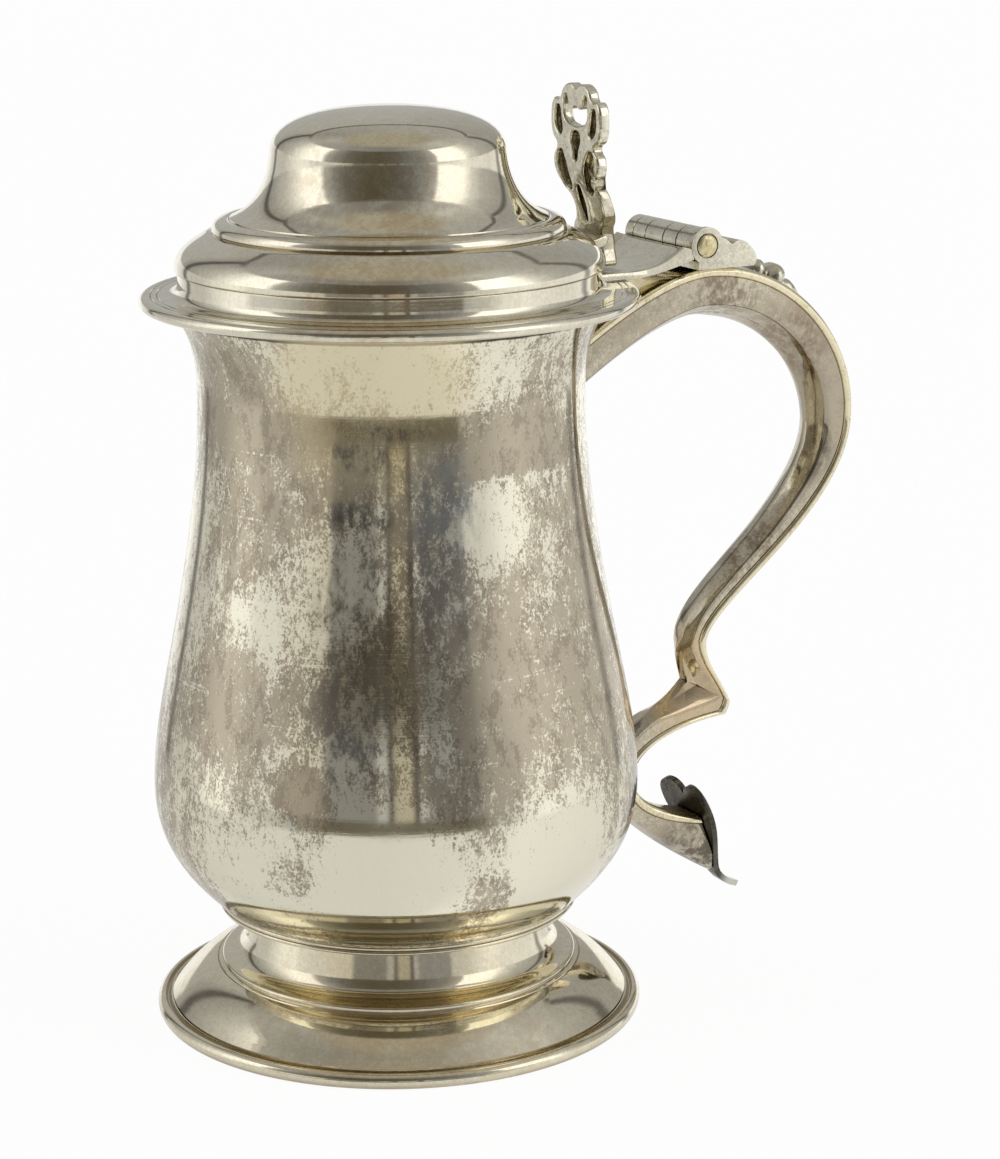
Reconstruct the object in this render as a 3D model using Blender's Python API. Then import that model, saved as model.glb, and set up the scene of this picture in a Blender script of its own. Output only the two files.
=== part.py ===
"""A lidded silver tankard: baluster body on a spool foot, hollow scroll handle, hinged domed lid.

The vessel axis is vertical. The handle lies along +X and the lid turns about an axis along Y.
Sizes are in millimetres. The object stands on z = 0, centred under its overall box.
"""

import math

import bmesh
import bpy
from mathutils import Vector

MM = 0.001

# Fits
JOINT_GAP = 0.3
BEZEL_CLEARANCE = 1.0
PIN_CLEARANCE = 0.25
KNUCKLE_GAP = 0.3
TURN_STEPS = 40

# Body
BELLY_RADIUS = 57.3
BASE_INSET = 14.5
SHOULDER_INSET = 6.3
NECK_INSET = 12.5
MOUTH_INSET = 7.3
BODY_HEIGHT = 141.0
BELLY_SHARE = 0.197
SHOULDER_SHARE = 0.289
NECK_SHARE = 0.382
BODY_WALL = 1.3
FLOOR_SAG = 2.0

# Foot
FOOT_RADIUS = 58.0
FOOT_RIM_HEIGHT = 3.6
FOOT_RIM_WIDTH = 4.6
APRON_INSET = 3.6
APRON_RISE = 8.6
COLLAR_PROUD = 0.2
COLLAR_HEIGHT = 2.3
COLLAR_WIDTH = 3.0
STEM_INSET = 1.6
STEM_HEIGHT = 11.6
WAIST_INSET = 3.9
STEP_PROUD = 4.8
STEP_HEIGHT = 1.3
FOOT_WALL = 1.4

# Lid
FLANGE_PROUD = 0.2
FLANGE_THICKNESS = 2.8
NOTCH_HALF_WIDTH = 11.6
NOTCH_DEPTH = 6.4
BAND_INSET = 8.9
BAND_HEIGHT = 4.9
TORUS_PROUD = 0.6
TORUS_HEIGHT = 8.4
BEAD_INSET = 8.7
BEAD_HEIGHT = 3.2
COVE_HEIGHT = 8.0
DOME_INSET = 12.5
DOME_HEIGHT = 17.0
LID_WALL = 1.2
BEZEL_DEPTH = 5.0
BEZEL_WALL = 1.2

# Hinge
HINGE_STANDOFF = 18.7
KNUCKLE_RADIUS = 4.1
PIN_RADIUS = 2.35
PIN_PROUD = 0.8
HINGE_WIDTH = 31.0
KNUCKLE_SHARES = (0.12, 0.18, 0.26, 0.19, 0.25)
BLOCK_LENGTH = 13.6
BLOCK_HEIGHT = 5.6
LEAF_THICKNESS = 1.5
DROP_LENGTH = 26.0
DROP_HEIGHT = 5.4
DROP_WIDTH = 9.6

# Thumbpiece
THUMB_HEIGHT = 42.6
THUMB_WIDTH = 22.8
THUMB_THICKNESS = 2.8
THUMB_STANDOFF = 4.6
THUMB_FOOT_THICKNESS = 4.0
THUMB_SWEEP = 4.2

# Handle
HANDLE_STANDOFF = 68.2
HANDLE_CREST = 0.6
ROOT_SINK = 12.0
ROOT_FALL = 23.0
ROOT_WIDTH = 20.4
SIDE_WIDTH = 12.0
ELBOW_WIDTH = 9.0
ROOT_DEPTH = 13.0
SIDE_DEPTH = 10.4
DIAGONAL_DEPTH = 6.8
ELBOW_DEPTH = 5.0
STRAP_THICKNESS = 2.4
STRAP_LIP = 0.6
CHANNEL_WALL = 1.1
CREASE = 0.55
CREASE_HIGH = 0.86
CREASE_LOW = 0.14
SPUR_THICKNESS = 3.4
SPUR_STANDOFF = 34.3
SPUR_SHARE = 0.241
SPUR_DEPTH = 13.8
SPUR_TILT_DEG = 28.0
ELBOW_INSET = 7.2
ELBOW_RISE = 16.2
SCROLL_WIDTH = 7.8
SCROLL_DEPTH = 7.2
SCROLL_FALL = 28.2
TAIL_INSET = 9.6
TAIL_DEPTH = 18.2
TAIL_WIDTH = 13.6
HEART_WIDTH = 19.0
HEART_HEIGHT = 27.0
HEART_ABOVE = 7.6
HEART_THICKNESS = 1.5
HEART_TILT_DEG = 21.0
HEART_TONGUE = 7.4

# Radii and reaches that follow from the sizes above
BASE_RADIUS = BELLY_RADIUS - BASE_INSET
SHOULDER_RADIUS = BELLY_RADIUS - SHOULDER_INSET
NECK_RADIUS = BELLY_RADIUS - NECK_INSET
MOUTH_RADIUS = BELLY_RADIUS - MOUTH_INSET
APRON_RADIUS = FOOT_RADIUS - APRON_INSET
COLLAR_RADIUS = BASE_RADIUS + COLLAR_PROUD
STEM_TOP_RADIUS = COLLAR_RADIUS - STEM_INSET
WAIST_RADIUS = STEM_TOP_RADIUS - WAIST_INSET
STEP_RADIUS = WAIST_RADIUS + STEP_PROUD
FLANGE_RADIUS = BELLY_RADIUS + FLANGE_PROUD
BAND_RADIUS = FLANGE_RADIUS - BAND_INSET
TORUS_RADIUS = BAND_RADIUS + TORUS_PROUD
BEAD_RADIUS = TORUS_RADIUS - BEAD_INSET
DOME_RADIUS = BEAD_RADIUS - DOME_INSET
HINGE_REACH = FLANGE_RADIUS + HINGE_STANDOFF
THUMB_REACH = BAND_RADIUS + THUMB_STANDOFF
HANDLE_REACH = BELLY_RADIUS + HANDLE_STANDOFF
SPUR_REACH = BELLY_RADIUS + SPUR_STANDOFF

# Heights that follow from the sizes above
BELLY_RISE = BODY_HEIGHT * BELLY_SHARE
SHOULDER_RISE = BODY_HEIGHT * SHOULDER_SHARE
NECK_RISE = BODY_HEIGHT * NECK_SHARE
MOUTH_RISE = BODY_HEIGHT - BELLY_RISE - SHOULDER_RISE - NECK_RISE
SPUR_RISE = BODY_HEIGHT * SPUR_SHARE
APRON_Z = FOOT_RIM_HEIGHT + JOINT_GAP
STEP_Z = APRON_Z + APRON_RISE
FOOT_TOP_Z = STEP_Z + STEP_HEIGHT + STEM_HEIGHT
COLLAR_Z = FOOT_TOP_Z + JOINT_GAP
BODY_Z = COLLAR_Z + COLLAR_HEIGHT + JOINT_GAP
BELLY_Z = BODY_Z + BELLY_RISE
SHOULDER_Z = BELLY_Z + SHOULDER_RISE
NECK_Z = SHOULDER_Z + NECK_RISE
MOUTH_Z = NECK_Z + MOUTH_RISE
FLANGE_Z = MOUTH_Z + JOINT_GAP
FLANGE_TOP_Z = FLANGE_Z + FLANGE_THICKNESS
BAND_Z = FLANGE_TOP_Z + JOINT_GAP
TORUS_Z = BAND_Z + BAND_HEIGHT + JOINT_GAP
BEAD_Z = TORUS_Z + TORUS_HEIGHT
COVE_Z = BEAD_Z + BEAD_HEIGHT
DOME_Z = COVE_Z + COVE_HEIGHT
HANDLE_TOP_Z = FLANGE_TOP_Z + HANDLE_CREST
BLOCK_Z = HANDLE_TOP_Z + JOINT_GAP
HINGE_Z = BLOCK_Z + BLOCK_HEIGHT
SPUR_Z = BODY_Z + SPUR_RISE
FRAME_SHIFT = (HANDLE_REACH - max(FOOT_RADIUS, FLANGE_RADIUS, BELLY_RADIUS)) / 2


def clear_scene():
    for obj in list(bpy.data.objects):
        bpy.data.objects.remove(obj, do_unlink=True)


def metal(name, colour, roughness):
    material = bpy.data.materials.new(name)
    material.use_nodes = True
    shader = material.node_tree.nodes["Principled BSDF"]
    shader.inputs["Base Color"].default_value = (*colour, 1.0)
    shader.inputs["Metallic"].default_value = 1.0
    shader.inputs["Roughness"].default_value = roughness
    return material


def empty(name, parent, place):
    holder = bpy.data.objects.new(name, None)
    bpy.context.scene.collection.objects.link(holder)
    holder.parent = parent
    holder.location = [value * MM for value in place]
    return holder


def add_object(name, mesh, parent, material):
    """Links a mesh whose points are in vessel coordinates under a parent empty."""
    obj = bpy.data.objects.new(name, mesh)
    bpy.context.scene.collection.objects.link(obj)
    obj.parent = parent
    place = Vector((0, 0, 0))
    holder = parent
    while holder and holder.name != "tankard":
        place -= holder.location
        holder = holder.parent
    obj.location = place
    if material:
        mesh.materials.append(material)
    return obj


def smooth(mesh, angle=32):
    mesh.shade_smooth()
    mesh.set_sharp_from_angle(angle=math.radians(angle))


def bezier(start, first, second, end, count):
    """Points of a cubic curve after its start, up to and with its end."""
    points = []
    for index in range(1, count + 1):
        t = index / count
        u = 1 - t
        weights = (u**3, 3 * u * u * t, 3 * u * t * t, t**3)
        spots = (start, first, second, end)
        points.append(tuple(sum(w * p[k] for w, p in zip(weights, spots)) for k in range(len(start))))
    return points


def arc(centre, radius, start_deg, end_deg, count):
    """Points round a centre, from one angle to another, both ends included."""
    points = []
    for index in range(count + 1):
        angle = math.radians(start_deg + (end_deg - start_deg) * index / count)
        points.append((centre[0] + radius * math.cos(angle), centre[1] + radius * math.sin(angle)))
    return points


def turn(name, profile, parent, material, closed=True):
    """A turned piece: the profile of (radius, height) runs down its outer side."""
    mesh = bpy.data.meshes.new(name)
    points = [(radius * MM, 0.0, height * MM) for radius, height in profile]
    edges = [(index, index + 1) for index in range(len(points) - 1)]
    if closed:
        edges.append((len(points) - 1, 0))
    mesh.from_pydata(points, edges, [])
    obj = add_object(name, mesh, parent, material)
    screw = obj.modifiers.new("turn", "SCREW")
    screw.angle = math.tau
    screw.steps = TURN_STEPS
    screw.render_steps = TURN_STEPS
    screw.use_merge_vertices = True
    screw.merge_threshold = 0.00001
    screw.use_smooth_shade = True
    return obj


def solid_from_rings(name, rings, parent, material, closed=False):
    """A lofted piece: rings of points joined in order, with its two ends capped or joined."""
    mesh = bpy.data.meshes.new(name)
    built = bmesh.new()
    rows = [[built.verts.new([value * MM for value in point]) for point in ring] for ring in rings]
    size = len(rows[0])
    pairs = list(zip(rows, rows[1:]))
    if closed:
        pairs.append((rows[-1], rows[0]))
    for low, high in pairs:
        for index in range(size):
            after = (index + 1) % size
            built.faces.new((low[index], low[after], high[after], high[index]))
    if not closed:
        built.faces.new(rows[0])
        built.faces.new(rows[-1])
    bmesh.ops.recalc_face_normals(built, faces=built.faces)
    built.to_mesh(mesh)
    built.free()
    smooth(mesh)
    return add_object(name, mesh, parent, material)


def prism(name, outline, low_y, high_y, parent, material):
    """A piece with one side outline of (x, z), straight across its width."""
    rings = [[(x, y, z) for x, z in outline] for y in (low_y, high_y)]
    return solid_from_rings(name, rings, parent, material)


def tube(name, centre, outer, bore, low_y, high_y, parent, material, sides=24):
    """A short tube along Y round a centre given as (x, z)."""
    ring = []
    for radius, y in ((outer, low_y), (outer, high_y), (bore, high_y), (bore, low_y)):
        ring.append((radius, y))
    rings = []
    for index in range(sides):
        angle = math.tau * index / sides
        x, z = math.cos(angle), math.sin(angle)
        rings.append([(centre[0] + r * x, y, centre[1] + r * z) for r, y in ring])
    return solid_from_rings(name, rings, parent, material, closed=True)


def cut(target, cutter, operation="DIFFERENCE"):
    modifier = target.modifiers.new(cutter.name, "BOOLEAN")
    modifier.operation = operation
    modifier.solver = "EXACT"
    modifier.object = cutter


def as_cutter(obj):
    obj.hide_render = True
    obj.display_type = "WIRE"
    return obj


def offset_out(profile, distance):
    """The profile moved outwards, square to its run from top to bottom."""
    moved = []
    for index, point in enumerate(profile):
        before = profile[max(index - 1, 0)]
        after = profile[min(index + 1, len(profile) - 1)]
        run = Vector((after[0] - before[0], after[1] - before[1])).normalized()
        moved.append((point[0] - run.y * distance, point[1] + run.x * distance))
    return moved


# Outer outlines of the body and of the lid, from the top down
def body_outline():
    neck = (NECK_RADIUS, NECK_Z)
    shoulder = (SHOULDER_RADIUS, SHOULDER_Z)
    belly = (BELLY_RADIUS, BELLY_Z)
    base = (BASE_RADIUS, BODY_Z)
    lean = (BELLY_RADIUS - NECK_RADIUS) / (NECK_RISE + SHOULDER_RISE) * 1.45
    points = [(MOUTH_RADIUS, MOUTH_Z)]
    points += bezier(
        points[0],
        (MOUTH_RADIUS - 2.4, MOUTH_Z - MOUTH_RISE * 0.22),
        (NECK_RADIUS, NECK_Z + MOUTH_RISE * 0.55),
        neck,
        5,
    )
    points += bezier(
        neck,
        (NECK_RADIUS, NECK_Z - NECK_RISE * 0.34),
        (SHOULDER_RADIUS - lean * NECK_RISE * 0.36, SHOULDER_Z + NECK_RISE * 0.36),
        shoulder,
        4,
    )
    points += bezier(
        shoulder,
        (SHOULDER_RADIUS + lean * SHOULDER_RISE * 0.36, SHOULDER_Z - SHOULDER_RISE * 0.36),
        (BELLY_RADIUS, BELLY_Z + SHOULDER_RISE * 0.3),
        belly,
        4,
    )
    points += bezier(
        belly,
        (BELLY_RADIUS, BELLY_Z - BELLY_RISE * 0.42),
        (BASE_RADIUS + BELLY_RISE * 0.34, BODY_Z + BELLY_RISE * 0.3),
        base,
        7,
    )
    return points


def lid_outline():
    shoulder = (BEAD_RADIUS + 1.2, BEAD_Z)
    top = DOME_Z + DOME_HEIGHT
    points = [(0.0, top)]
    points += bezier(
        points[0],
        (DOME_RADIUS * 0.72, top),
        (DOME_RADIUS - 1.0, top - DOME_HEIGHT * 0.28),
        (DOME_RADIUS - 1.0, top - DOME_HEIGHT * 0.6),
        7,
    )
    points += bezier(
        points[-1],
        (DOME_RADIUS - 0.6, DOME_Z + DOME_HEIGHT * 0.1),
        (DOME_RADIUS + 2.0, COVE_Z + COVE_HEIGHT * 0.3),
        (BEAD_RADIUS - 3.0, COVE_Z),
        6,
    )
    points += bezier(
        points[-1],
        (BEAD_RADIUS - 0.6, COVE_Z),
        (BEAD_RADIUS, COVE_Z - BEAD_HEIGHT * 0.4),
        (BEAD_RADIUS, BEAD_Z + 0.4),
        3,
    )
    points.append(shoulder)
    points += bezier(
        shoulder,
        (TORUS_RADIUS - 3.2, BEAD_Z - TORUS_HEIGHT * 0.28),
        (TORUS_RADIUS, TORUS_Z + TORUS_HEIGHT * 0.5),
        (TORUS_RADIUS, TORUS_Z),
        5,
    )
    return points


def make_body(frame, silver):
    outer = body_outline()
    inner = [point for point in offset_out(outer, -BODY_WALL) if point[1] > BODY_Z + BODY_WALL * 2]
    inner[0] = (MOUTH_RADIUS - BODY_WALL - 0.3, MOUTH_Z)
    floor = [(BASE_RADIUS - 3.0, BODY_Z + BODY_WALL), (0.0, BODY_Z - FLOOR_SAG + BODY_WALL)]
    under = [(BASE_RADIUS - 1.6, BODY_Z), (0.0, BODY_Z - FLOOR_SAG)]
    profile = list(reversed(floor))[:1] + floor[:1] + inner[::-1] + outer + under
    return turn("body", profile, frame, silver, closed=False)


def make_foot(frame, silver):
    top = (STEM_TOP_RADIUS, FOOT_TOP_Z)
    low = (STEP_RADIUS - 1.2, STEP_Z + STEP_HEIGHT)
    waist = STEP_Z + STEP_HEIGHT + STEM_HEIGHT * 0.58
    outer = [top]
    outer += bezier(
        top,
        (WAIST_RADIUS + 0.6, FOOT_TOP_Z - STEM_HEIGHT * 0.12),
        (WAIST_RADIUS, waist + STEM_HEIGHT * 0.14),
        (WAIST_RADIUS, waist),
        3,
    )
    outer += bezier(
        outer[-1],
        (WAIST_RADIUS, waist - STEM_HEIGHT * 0.3),
        (STEP_RADIUS - 3.0, STEP_Z + STEP_HEIGHT + 0.4),
        low,
        3,
    )
    outer += [(STEP_RADIUS, STEP_Z + STEP_HEIGHT * 0.7), (STEP_RADIUS, STEP_Z)]
    outer += bezier(
        outer[-1],
        (STEP_RADIUS + 4.0, STEP_Z - APRON_RISE * 0.12),
        (APRON_RADIUS - 3.0, APRON_Z + APRON_RISE * 0.42),
        (APRON_RADIUS, APRON_Z),
        4,
    )
    inner = offset_out(outer, -FOOT_WALL)
    inner[0] = (STEM_TOP_RADIUS - FOOT_WALL - 1.0, FOOT_TOP_Z)
    inner[-1] = (APRON_RADIUS - FOOT_WALL - 1.2, APRON_Z)
    turn("foot", outer + inner[::-1], frame, silver)

    rim = [(FOOT_RADIUS - FOOT_RIM_WIDTH, FOOT_RIM_HEIGHT), (FOOT_RADIUS - 1.6, FOOT_RIM_HEIGHT)]
    rim += bezier(
        rim[-1],
        (FOOT_RADIUS - 0.4, FOOT_RIM_HEIGHT),
        (FOOT_RADIUS, FOOT_RIM_HEIGHT * 0.8),
        (FOOT_RADIUS, FOOT_RIM_HEIGHT * 0.5),
        3,
    )
    rim += [(FOOT_RADIUS - 0.9, 0.0), (FOOT_RADIUS - FOOT_RIM_WIDTH, 0.0)]
    turn("foot_rim", rim, frame, silver)

    half = COLLAR_HEIGHT / 2
    ring = [(COLLAR_RADIUS - COLLAR_WIDTH, COLLAR_Z + COLLAR_HEIGHT)]
    for level in (1.5, 0.5):
        middle = (COLLAR_RADIUS - half / 2, COLLAR_Z + half * level)
        ring += arc(middle, half / 2, 80, -80, 3)
    ring += [(COLLAR_RADIUS - COLLAR_WIDTH, COLLAR_Z)]
    turn("foot_collar", ring, frame, silver)


def make_lid(hinge, silver):
    outer = lid_outline()
    inner = [(TORUS_RADIUS - LID_WALL * 1.4, TORUS_Z)]
    inner += [(BEAD_RADIUS, BEAD_Z - LID_WALL * 1.5), (BEAD_RADIUS - LID_WALL * 2, COVE_Z - LID_WALL)]
    inner += [(DOME_RADIUS + 1.6, COVE_Z + COVE_HEIGHT * 0.2), (DOME_RADIUS - 1.6, DOME_Z)]
    inner += [(DOME_RADIUS - 2.6, DOME_Z + DOME_HEIGHT * 0.55)]
    inner += [(DOME_RADIUS * 0.6, DOME_Z + DOME_HEIGHT * 0.84)]
    inner += [(0.0, DOME_Z + DOME_HEIGHT - LID_WALL)]
    turn("lid_dome", outer + inner, hinge, silver, closed=False)

    band = [(BAND_RADIUS, BAND_Z + BAND_HEIGHT), (BAND_RADIUS, BAND_Z)]
    band += [(BAND_RADIUS - LID_WALL * 1.4, BAND_Z), (BAND_RADIUS - LID_WALL * 1.4, BAND_Z + BAND_HEIGHT)]
    turn("lid_band", band, hinge, silver)

    half = FLANGE_THICKNESS / 2
    inside = BAND_RADIUS - LID_WALL * 3
    flange = [(inside, FLANGE_TOP_Z)]
    flange += arc((FLANGE_RADIUS - half, FLANGE_Z + half), half, 90, -90, 5)
    flange += [(inside, FLANGE_Z)]
    ring = turn("lid_flange", flange, hinge, silver)
    notch = prism(
        "notch_cutter",
        [
            (FLANGE_RADIUS - NOTCH_DEPTH, FLANGE_Z - half),
            (FLANGE_RADIUS + half, FLANGE_Z - half),
            (FLANGE_RADIUS + half, FLANGE_TOP_Z + half),
            (FLANGE_RADIUS - NOTCH_DEPTH, FLANGE_TOP_Z + half),
        ],
        -NOTCH_HALF_WIDTH,
        NOTCH_HALF_WIDTH,
        hinge,
        None,
    )
    cut(ring, as_cutter(notch))

    body_low = [p for p in offset_out(body_outline(), -BODY_WALL) if p[1] > MOUTH_Z - BEZEL_DEPTH * 2]
    depth = MOUTH_Z - BEZEL_DEPTH
    above = min((p for p in body_low if p[1] >= depth), key=lambda p: p[1])
    below = max((p for p in body_low if p[1] < depth), key=lambda p: p[1])
    share = (depth - below[1]) / (above[1] - below[1])
    outside = below[0] + (above[0] - below[0]) * share - BEZEL_CLEARANCE
    bezel = [(outside, MOUTH_Z), (outside, depth)]
    bezel += [(outside - BEZEL_WALL, depth), (outside - BEZEL_WALL, MOUTH_Z)]
    turn("lid_bezel", bezel, hinge, silver)


def knuckle_spans():
    """The (low, high) places of the five knuckles along Y, the near one last in the list."""
    spans = []
    edge = HINGE_WIDTH / 2
    for share in KNUCKLE_SHARES:
        length = HINGE_WIDTH * share
        spans.append((edge - length + KNUCKLE_GAP / 2, edge - KNUCKLE_GAP / 2))
        edge -= length
    return spans


def make_hinge(frame, hinge, silver, brass, lid_cutter):
    axis = (HINGE_REACH, HINGE_Z)
    seat = KNUCKLE_RADIUS + JOINT_GAP
    bore = PIN_RADIUS + PIN_CLEARANCE
    names = (
        ("hinge_knuckle_far", frame),
        ("lid_knuckle_far", hinge),
        ("hinge_knuckle_middle", frame),
        ("lid_knuckle_near", hinge),
        ("hinge_knuckle_near", frame),
    )
    for (name, parent), (low, high) in zip(names, knuckle_spans()):
        tube(name, axis, KNUCKLE_RADIUS, bore, low, high, parent, silver)

    half = HINGE_WIDTH / 2
    rings = []
    stations = ((0.3, half + PIN_PROUD), (0.75, half + PIN_PROUD * 0.75), (1.0, half + PIN_PROUD * 0.3))
    for share, y in [(s, -y) for s, y in stations] + [(s, y) for s, y in reversed(stations)]:
        circle = arc(axis, PIN_RADIUS * share, 0, 345, 23)
        rings.append([(x, y, z) for x, z in circle])
    solid_from_rings("hinge_pin", rings, frame, brass)

    end = HINGE_REACH + BLOCK_LENGTH
    outline = [(HINGE_REACH - 2.4, BLOCK_Z), (end - 0.6, BLOCK_Z)]
    outline += bezier(
        outline[-1], (end + 1.0, BLOCK_Z + 0.8), (end + 0.4, HINGE_Z - 2.4), (end - 1.8, HINGE_Z - 0.6), 4
    )
    outline += bezier(
        outline[-1],
        (end - 3.0, HINGE_Z + 1.0),
        (end - 5.4, HINGE_Z + 1.0),
        (end - 6.6, HINGE_Z - 0.1),
        4,
    )
    outline += bezier(
        outline[-1],
        (end - 7.8, HINGE_Z + 0.6),
        (end - 8.4, HINGE_Z + 1.6),
        (HINGE_REACH + seat * 0.93, HINGE_Z + seat * 0.36),
        3,
    )
    outline += arc(axis, seat, 10, -122, 9)
    prism("hinge_block", outline, -half, half, frame, silver)

    leaf_low = BAND_Z
    start = BAND_RADIUS - 12.0
    tip = (HINGE_REACH - seat - 1.9, HINGE_Z + 0.2)
    leaf = [(start, leaf_low), (FLANGE_RADIUS, leaf_low)]
    leaf += bezier(
        leaf[-1],
        (FLANGE_RADIUS + 4.0, leaf_low + 0.2),
        (HINGE_REACH - 8.0, HINGE_Z - 4.4),
        (HINGE_REACH - seat * 0.84, HINGE_Z - seat * 0.68),
        3,
    )
    leaf += arc(axis, seat + 0.1, 214, 186, 3)
    leaf.append(tip)
    leaf += bezier(
        tip,
        (HINGE_REACH - 9.6, HINGE_Z - 1.8),
        (HINGE_REACH - 12.0, leaf_low + LEAF_THICKNESS + 0.6),
        (FLANGE_RADIUS - 0.6, leaf_low + LEAF_THICKNESS),
        4,
    )
    leaf.append((start, leaf_low + LEAF_THICKNESS))
    plate = prism("lid_hinge_leaf", leaf, -half, half, hinge, silver)
    cut(plate, lid_cutter)


def handle_line():
    """The strap's outer line as (x, z): from inside the body over the top to the elbow."""
    crest = (HINGE_REACH + 4.6, HANDLE_TOP_Z)
    side = (HANDLE_REACH, HANDLE_TOP_Z - (HANDLE_TOP_Z - SPUR_Z) * 0.37)
    elbow = (SPUR_REACH - ELBOW_INSET, SPUR_Z + ELBOW_RISE)
    root = (NECK_RADIUS - ROOT_SINK, HANDLE_TOP_Z - ROOT_FALL)
    reach = crest[0] - root[0]
    lead = (root[0] + reach * 0.37, root[1] + ROOT_FALL * 0.56)
    line = [root]
    line += bezier(root, lead, (crest[0] - reach * 0.27, crest[1]), crest, 6)
    across = side[0] - crest[0]
    down = crest[1] - side[1]
    line += bezier(crest, (crest[0] + across * 0.52, crest[1]), (side[0], side[1] + down * 0.52), side, 8)
    drop = side[1] - elbow[1]
    line += bezier(side, (side[0], side[1] - drop * 0.46), (elbow[0] + 1.3, elbow[1] + drop * 0.2), elbow, 8)
    return line


def spur_frame():
    """The spur's tip and the direction of its end face, shared by the two scrolls."""
    tilt = math.radians(SPUR_TILT_DEG)
    return Vector((SPUR_REACH, SPUR_Z)), Vector((-math.cos(tilt), math.sin(tilt)))


def tail_frame():
    """The strap's end at the tail, with the directions down and away from the tail's end face."""
    tilt = math.radians(HEART_TILT_DEG)
    end = Vector((SPUR_REACH - TAIL_INSET, SPUR_Z - SCROLL_FALL))
    return end, Vector((math.sin(tilt), -math.cos(tilt))), Vector((math.cos(tilt), math.sin(tilt)))


def blend(marks, share):
    """The value at a share of the way along, between (share, value) marks."""
    for (a, low), (b, high) in zip(marks, marks[1:]):
        if share <= b:
            return low + (high - low) * (share - a) / (b - a)
    return marks[-1][1]


def upper_sections():
    """Cross-sections of the upper scroll: (place, inward direction, half width, depth, crease)."""
    widths = ((0, ROOT_WIDTH), (0.32, ROOT_WIDTH), (0.64, SIDE_WIDTH), (1, ELBOW_WIDTH))
    depths = ((0, ROOT_DEPTH), (0.32, ROOT_DEPTH), (0.64, SIDE_DEPTH), (0.82, DIAGONAL_DEPTH), (1, ELBOW_DEPTH))
    line = handle_line()
    found = []
    for index, (x, z) in enumerate(line):
        before = line[max(index - 1, 0)]
        after = line[min(index + 1, len(line) - 1)]
        run = Vector((after[0] - before[0], after[1] - before[1])).normalized()
        share = index / (len(line) - 1)
        inward = Vector((run.y, -run.x))
        crease = blend(((0, CREASE), (0.85, CREASE), (1, CREASE_HIGH)), share)
        found.append((Vector((x, z)), inward, blend(widths, share) / 2, blend(depths, share), crease))
    elbow, inward, half, depth, _ = found[-1]
    tip, last = spur_frame()
    spur = bezier(elbow, elbow - Vector((0.2, 5.4)), tip + Vector((-2.8, 6.4)), tip, 4)
    for index, point in enumerate(spur, 1):
        share = index / len(spur)
        facing = inward.lerp(last, share).normalized()
        crease = CREASE_HIGH + (CREASE_LOW - CREASE_HIGH) * share
        found.append((Vector(point), facing, half, depth + (SPUR_DEPTH - depth) * share, crease))
    return found


def lower_sections():
    """Cross-sections of the lower scroll, from the spur to the tail's end face."""
    tip, last = spur_frame()
    along = Vector((last.y, -last.x))
    gap = -along * JOINT_GAP
    start = tip + gap
    root = tip + last * SPUR_DEPTH + gap
    end, down, _ = tail_frame()
    floor = end + down * TAIL_DEPTH
    turn_z = SPUR_Z - SCROLL_FALL * 0.57
    touch = Vector((BELLY_RADIUS - 0.6, turn_z))
    inside = touch + Vector((SCROLL_DEPTH, 0))
    heel = start - Vector((1.4, SPUR_THICKNESS))
    outer = [start, heel]
    outer += bezier(heel, heel - Vector((13.5, 0.6)), inside + Vector((0, 7.5)), inside, 6)
    outer += bezier(inside, inside - Vector((0, 6.0)), end + Vector((-9.0, 1.6)), end, 7)
    lead = root - Vector((1.6, 1.5))
    inner = [root, lead]
    inner += bezier(lead, lead - Vector((6.6, 6.2)), touch + Vector((0, 9.5)), touch, 6)
    inner += bezier(touch, touch - Vector((0, 8.5)), floor + Vector((-16.5, 9.5)), floor, 7)
    widths = ((0, ELBOW_WIDTH), (0.46, SCROLL_WIDTH), (0.7, SCROLL_WIDTH + 0.8), (1, TAIL_WIDTH))
    found = []
    for index, (high, low) in enumerate(zip(outer, inner)):
        across = Vector(low) - Vector(high)
        share = index / (len(outer) - 1)
        crease = blend(((0, CREASE_LOW), (0.32, CREASE_HIGH), (0.6, CREASE_HIGH), (1, CREASE)), share)
        found.append((Vector(high), across.normalized(), blend(widths, share) / 2, across.length, crease))
    return found


def channel_ring(place, inward, half, depth, crease):
    """One cross-section of the hollow channel: steep sides, canted floor, open at the strap."""
    first = STRAP_THICKNESS + JOINT_GAP
    side = first + (depth - first) * crease
    wall = CHANNEL_WALL
    outer = [(half, first), (half * 0.97, side), (half * 0.5, depth)]
    inner = [(half - wall, first), (half * 0.97 - wall, side - wall * 0.4), (half * 0.5 - wall * 0.4, depth - wall)]
    loop = outer + [(-y, d) for y, d in reversed(outer)]
    loop += [(-y, d) for y, d in inner] + list(reversed(inner))
    return [(place[0] + inward.x * d, y, place[1] + inward.y * d) for y, d in loop]


def strap_ring(place, inward, half):
    """One cross-section of the strap: a flat bar with a crowned back and proud rounded edges."""
    wide = half + STRAP_LIP
    thick = STRAP_THICKNESS
    loop = [(wide - 0.5, thick), (wide, thick * 0.6), (wide - 0.4, thick * 0.2), (wide * 0.5, 0.0)]
    loop += [(-y, d) for y, d in reversed(loop)]
    return [(place[0] + inward.x * d, y, place[1] + inward.y * d) for y, d in loop]


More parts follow.
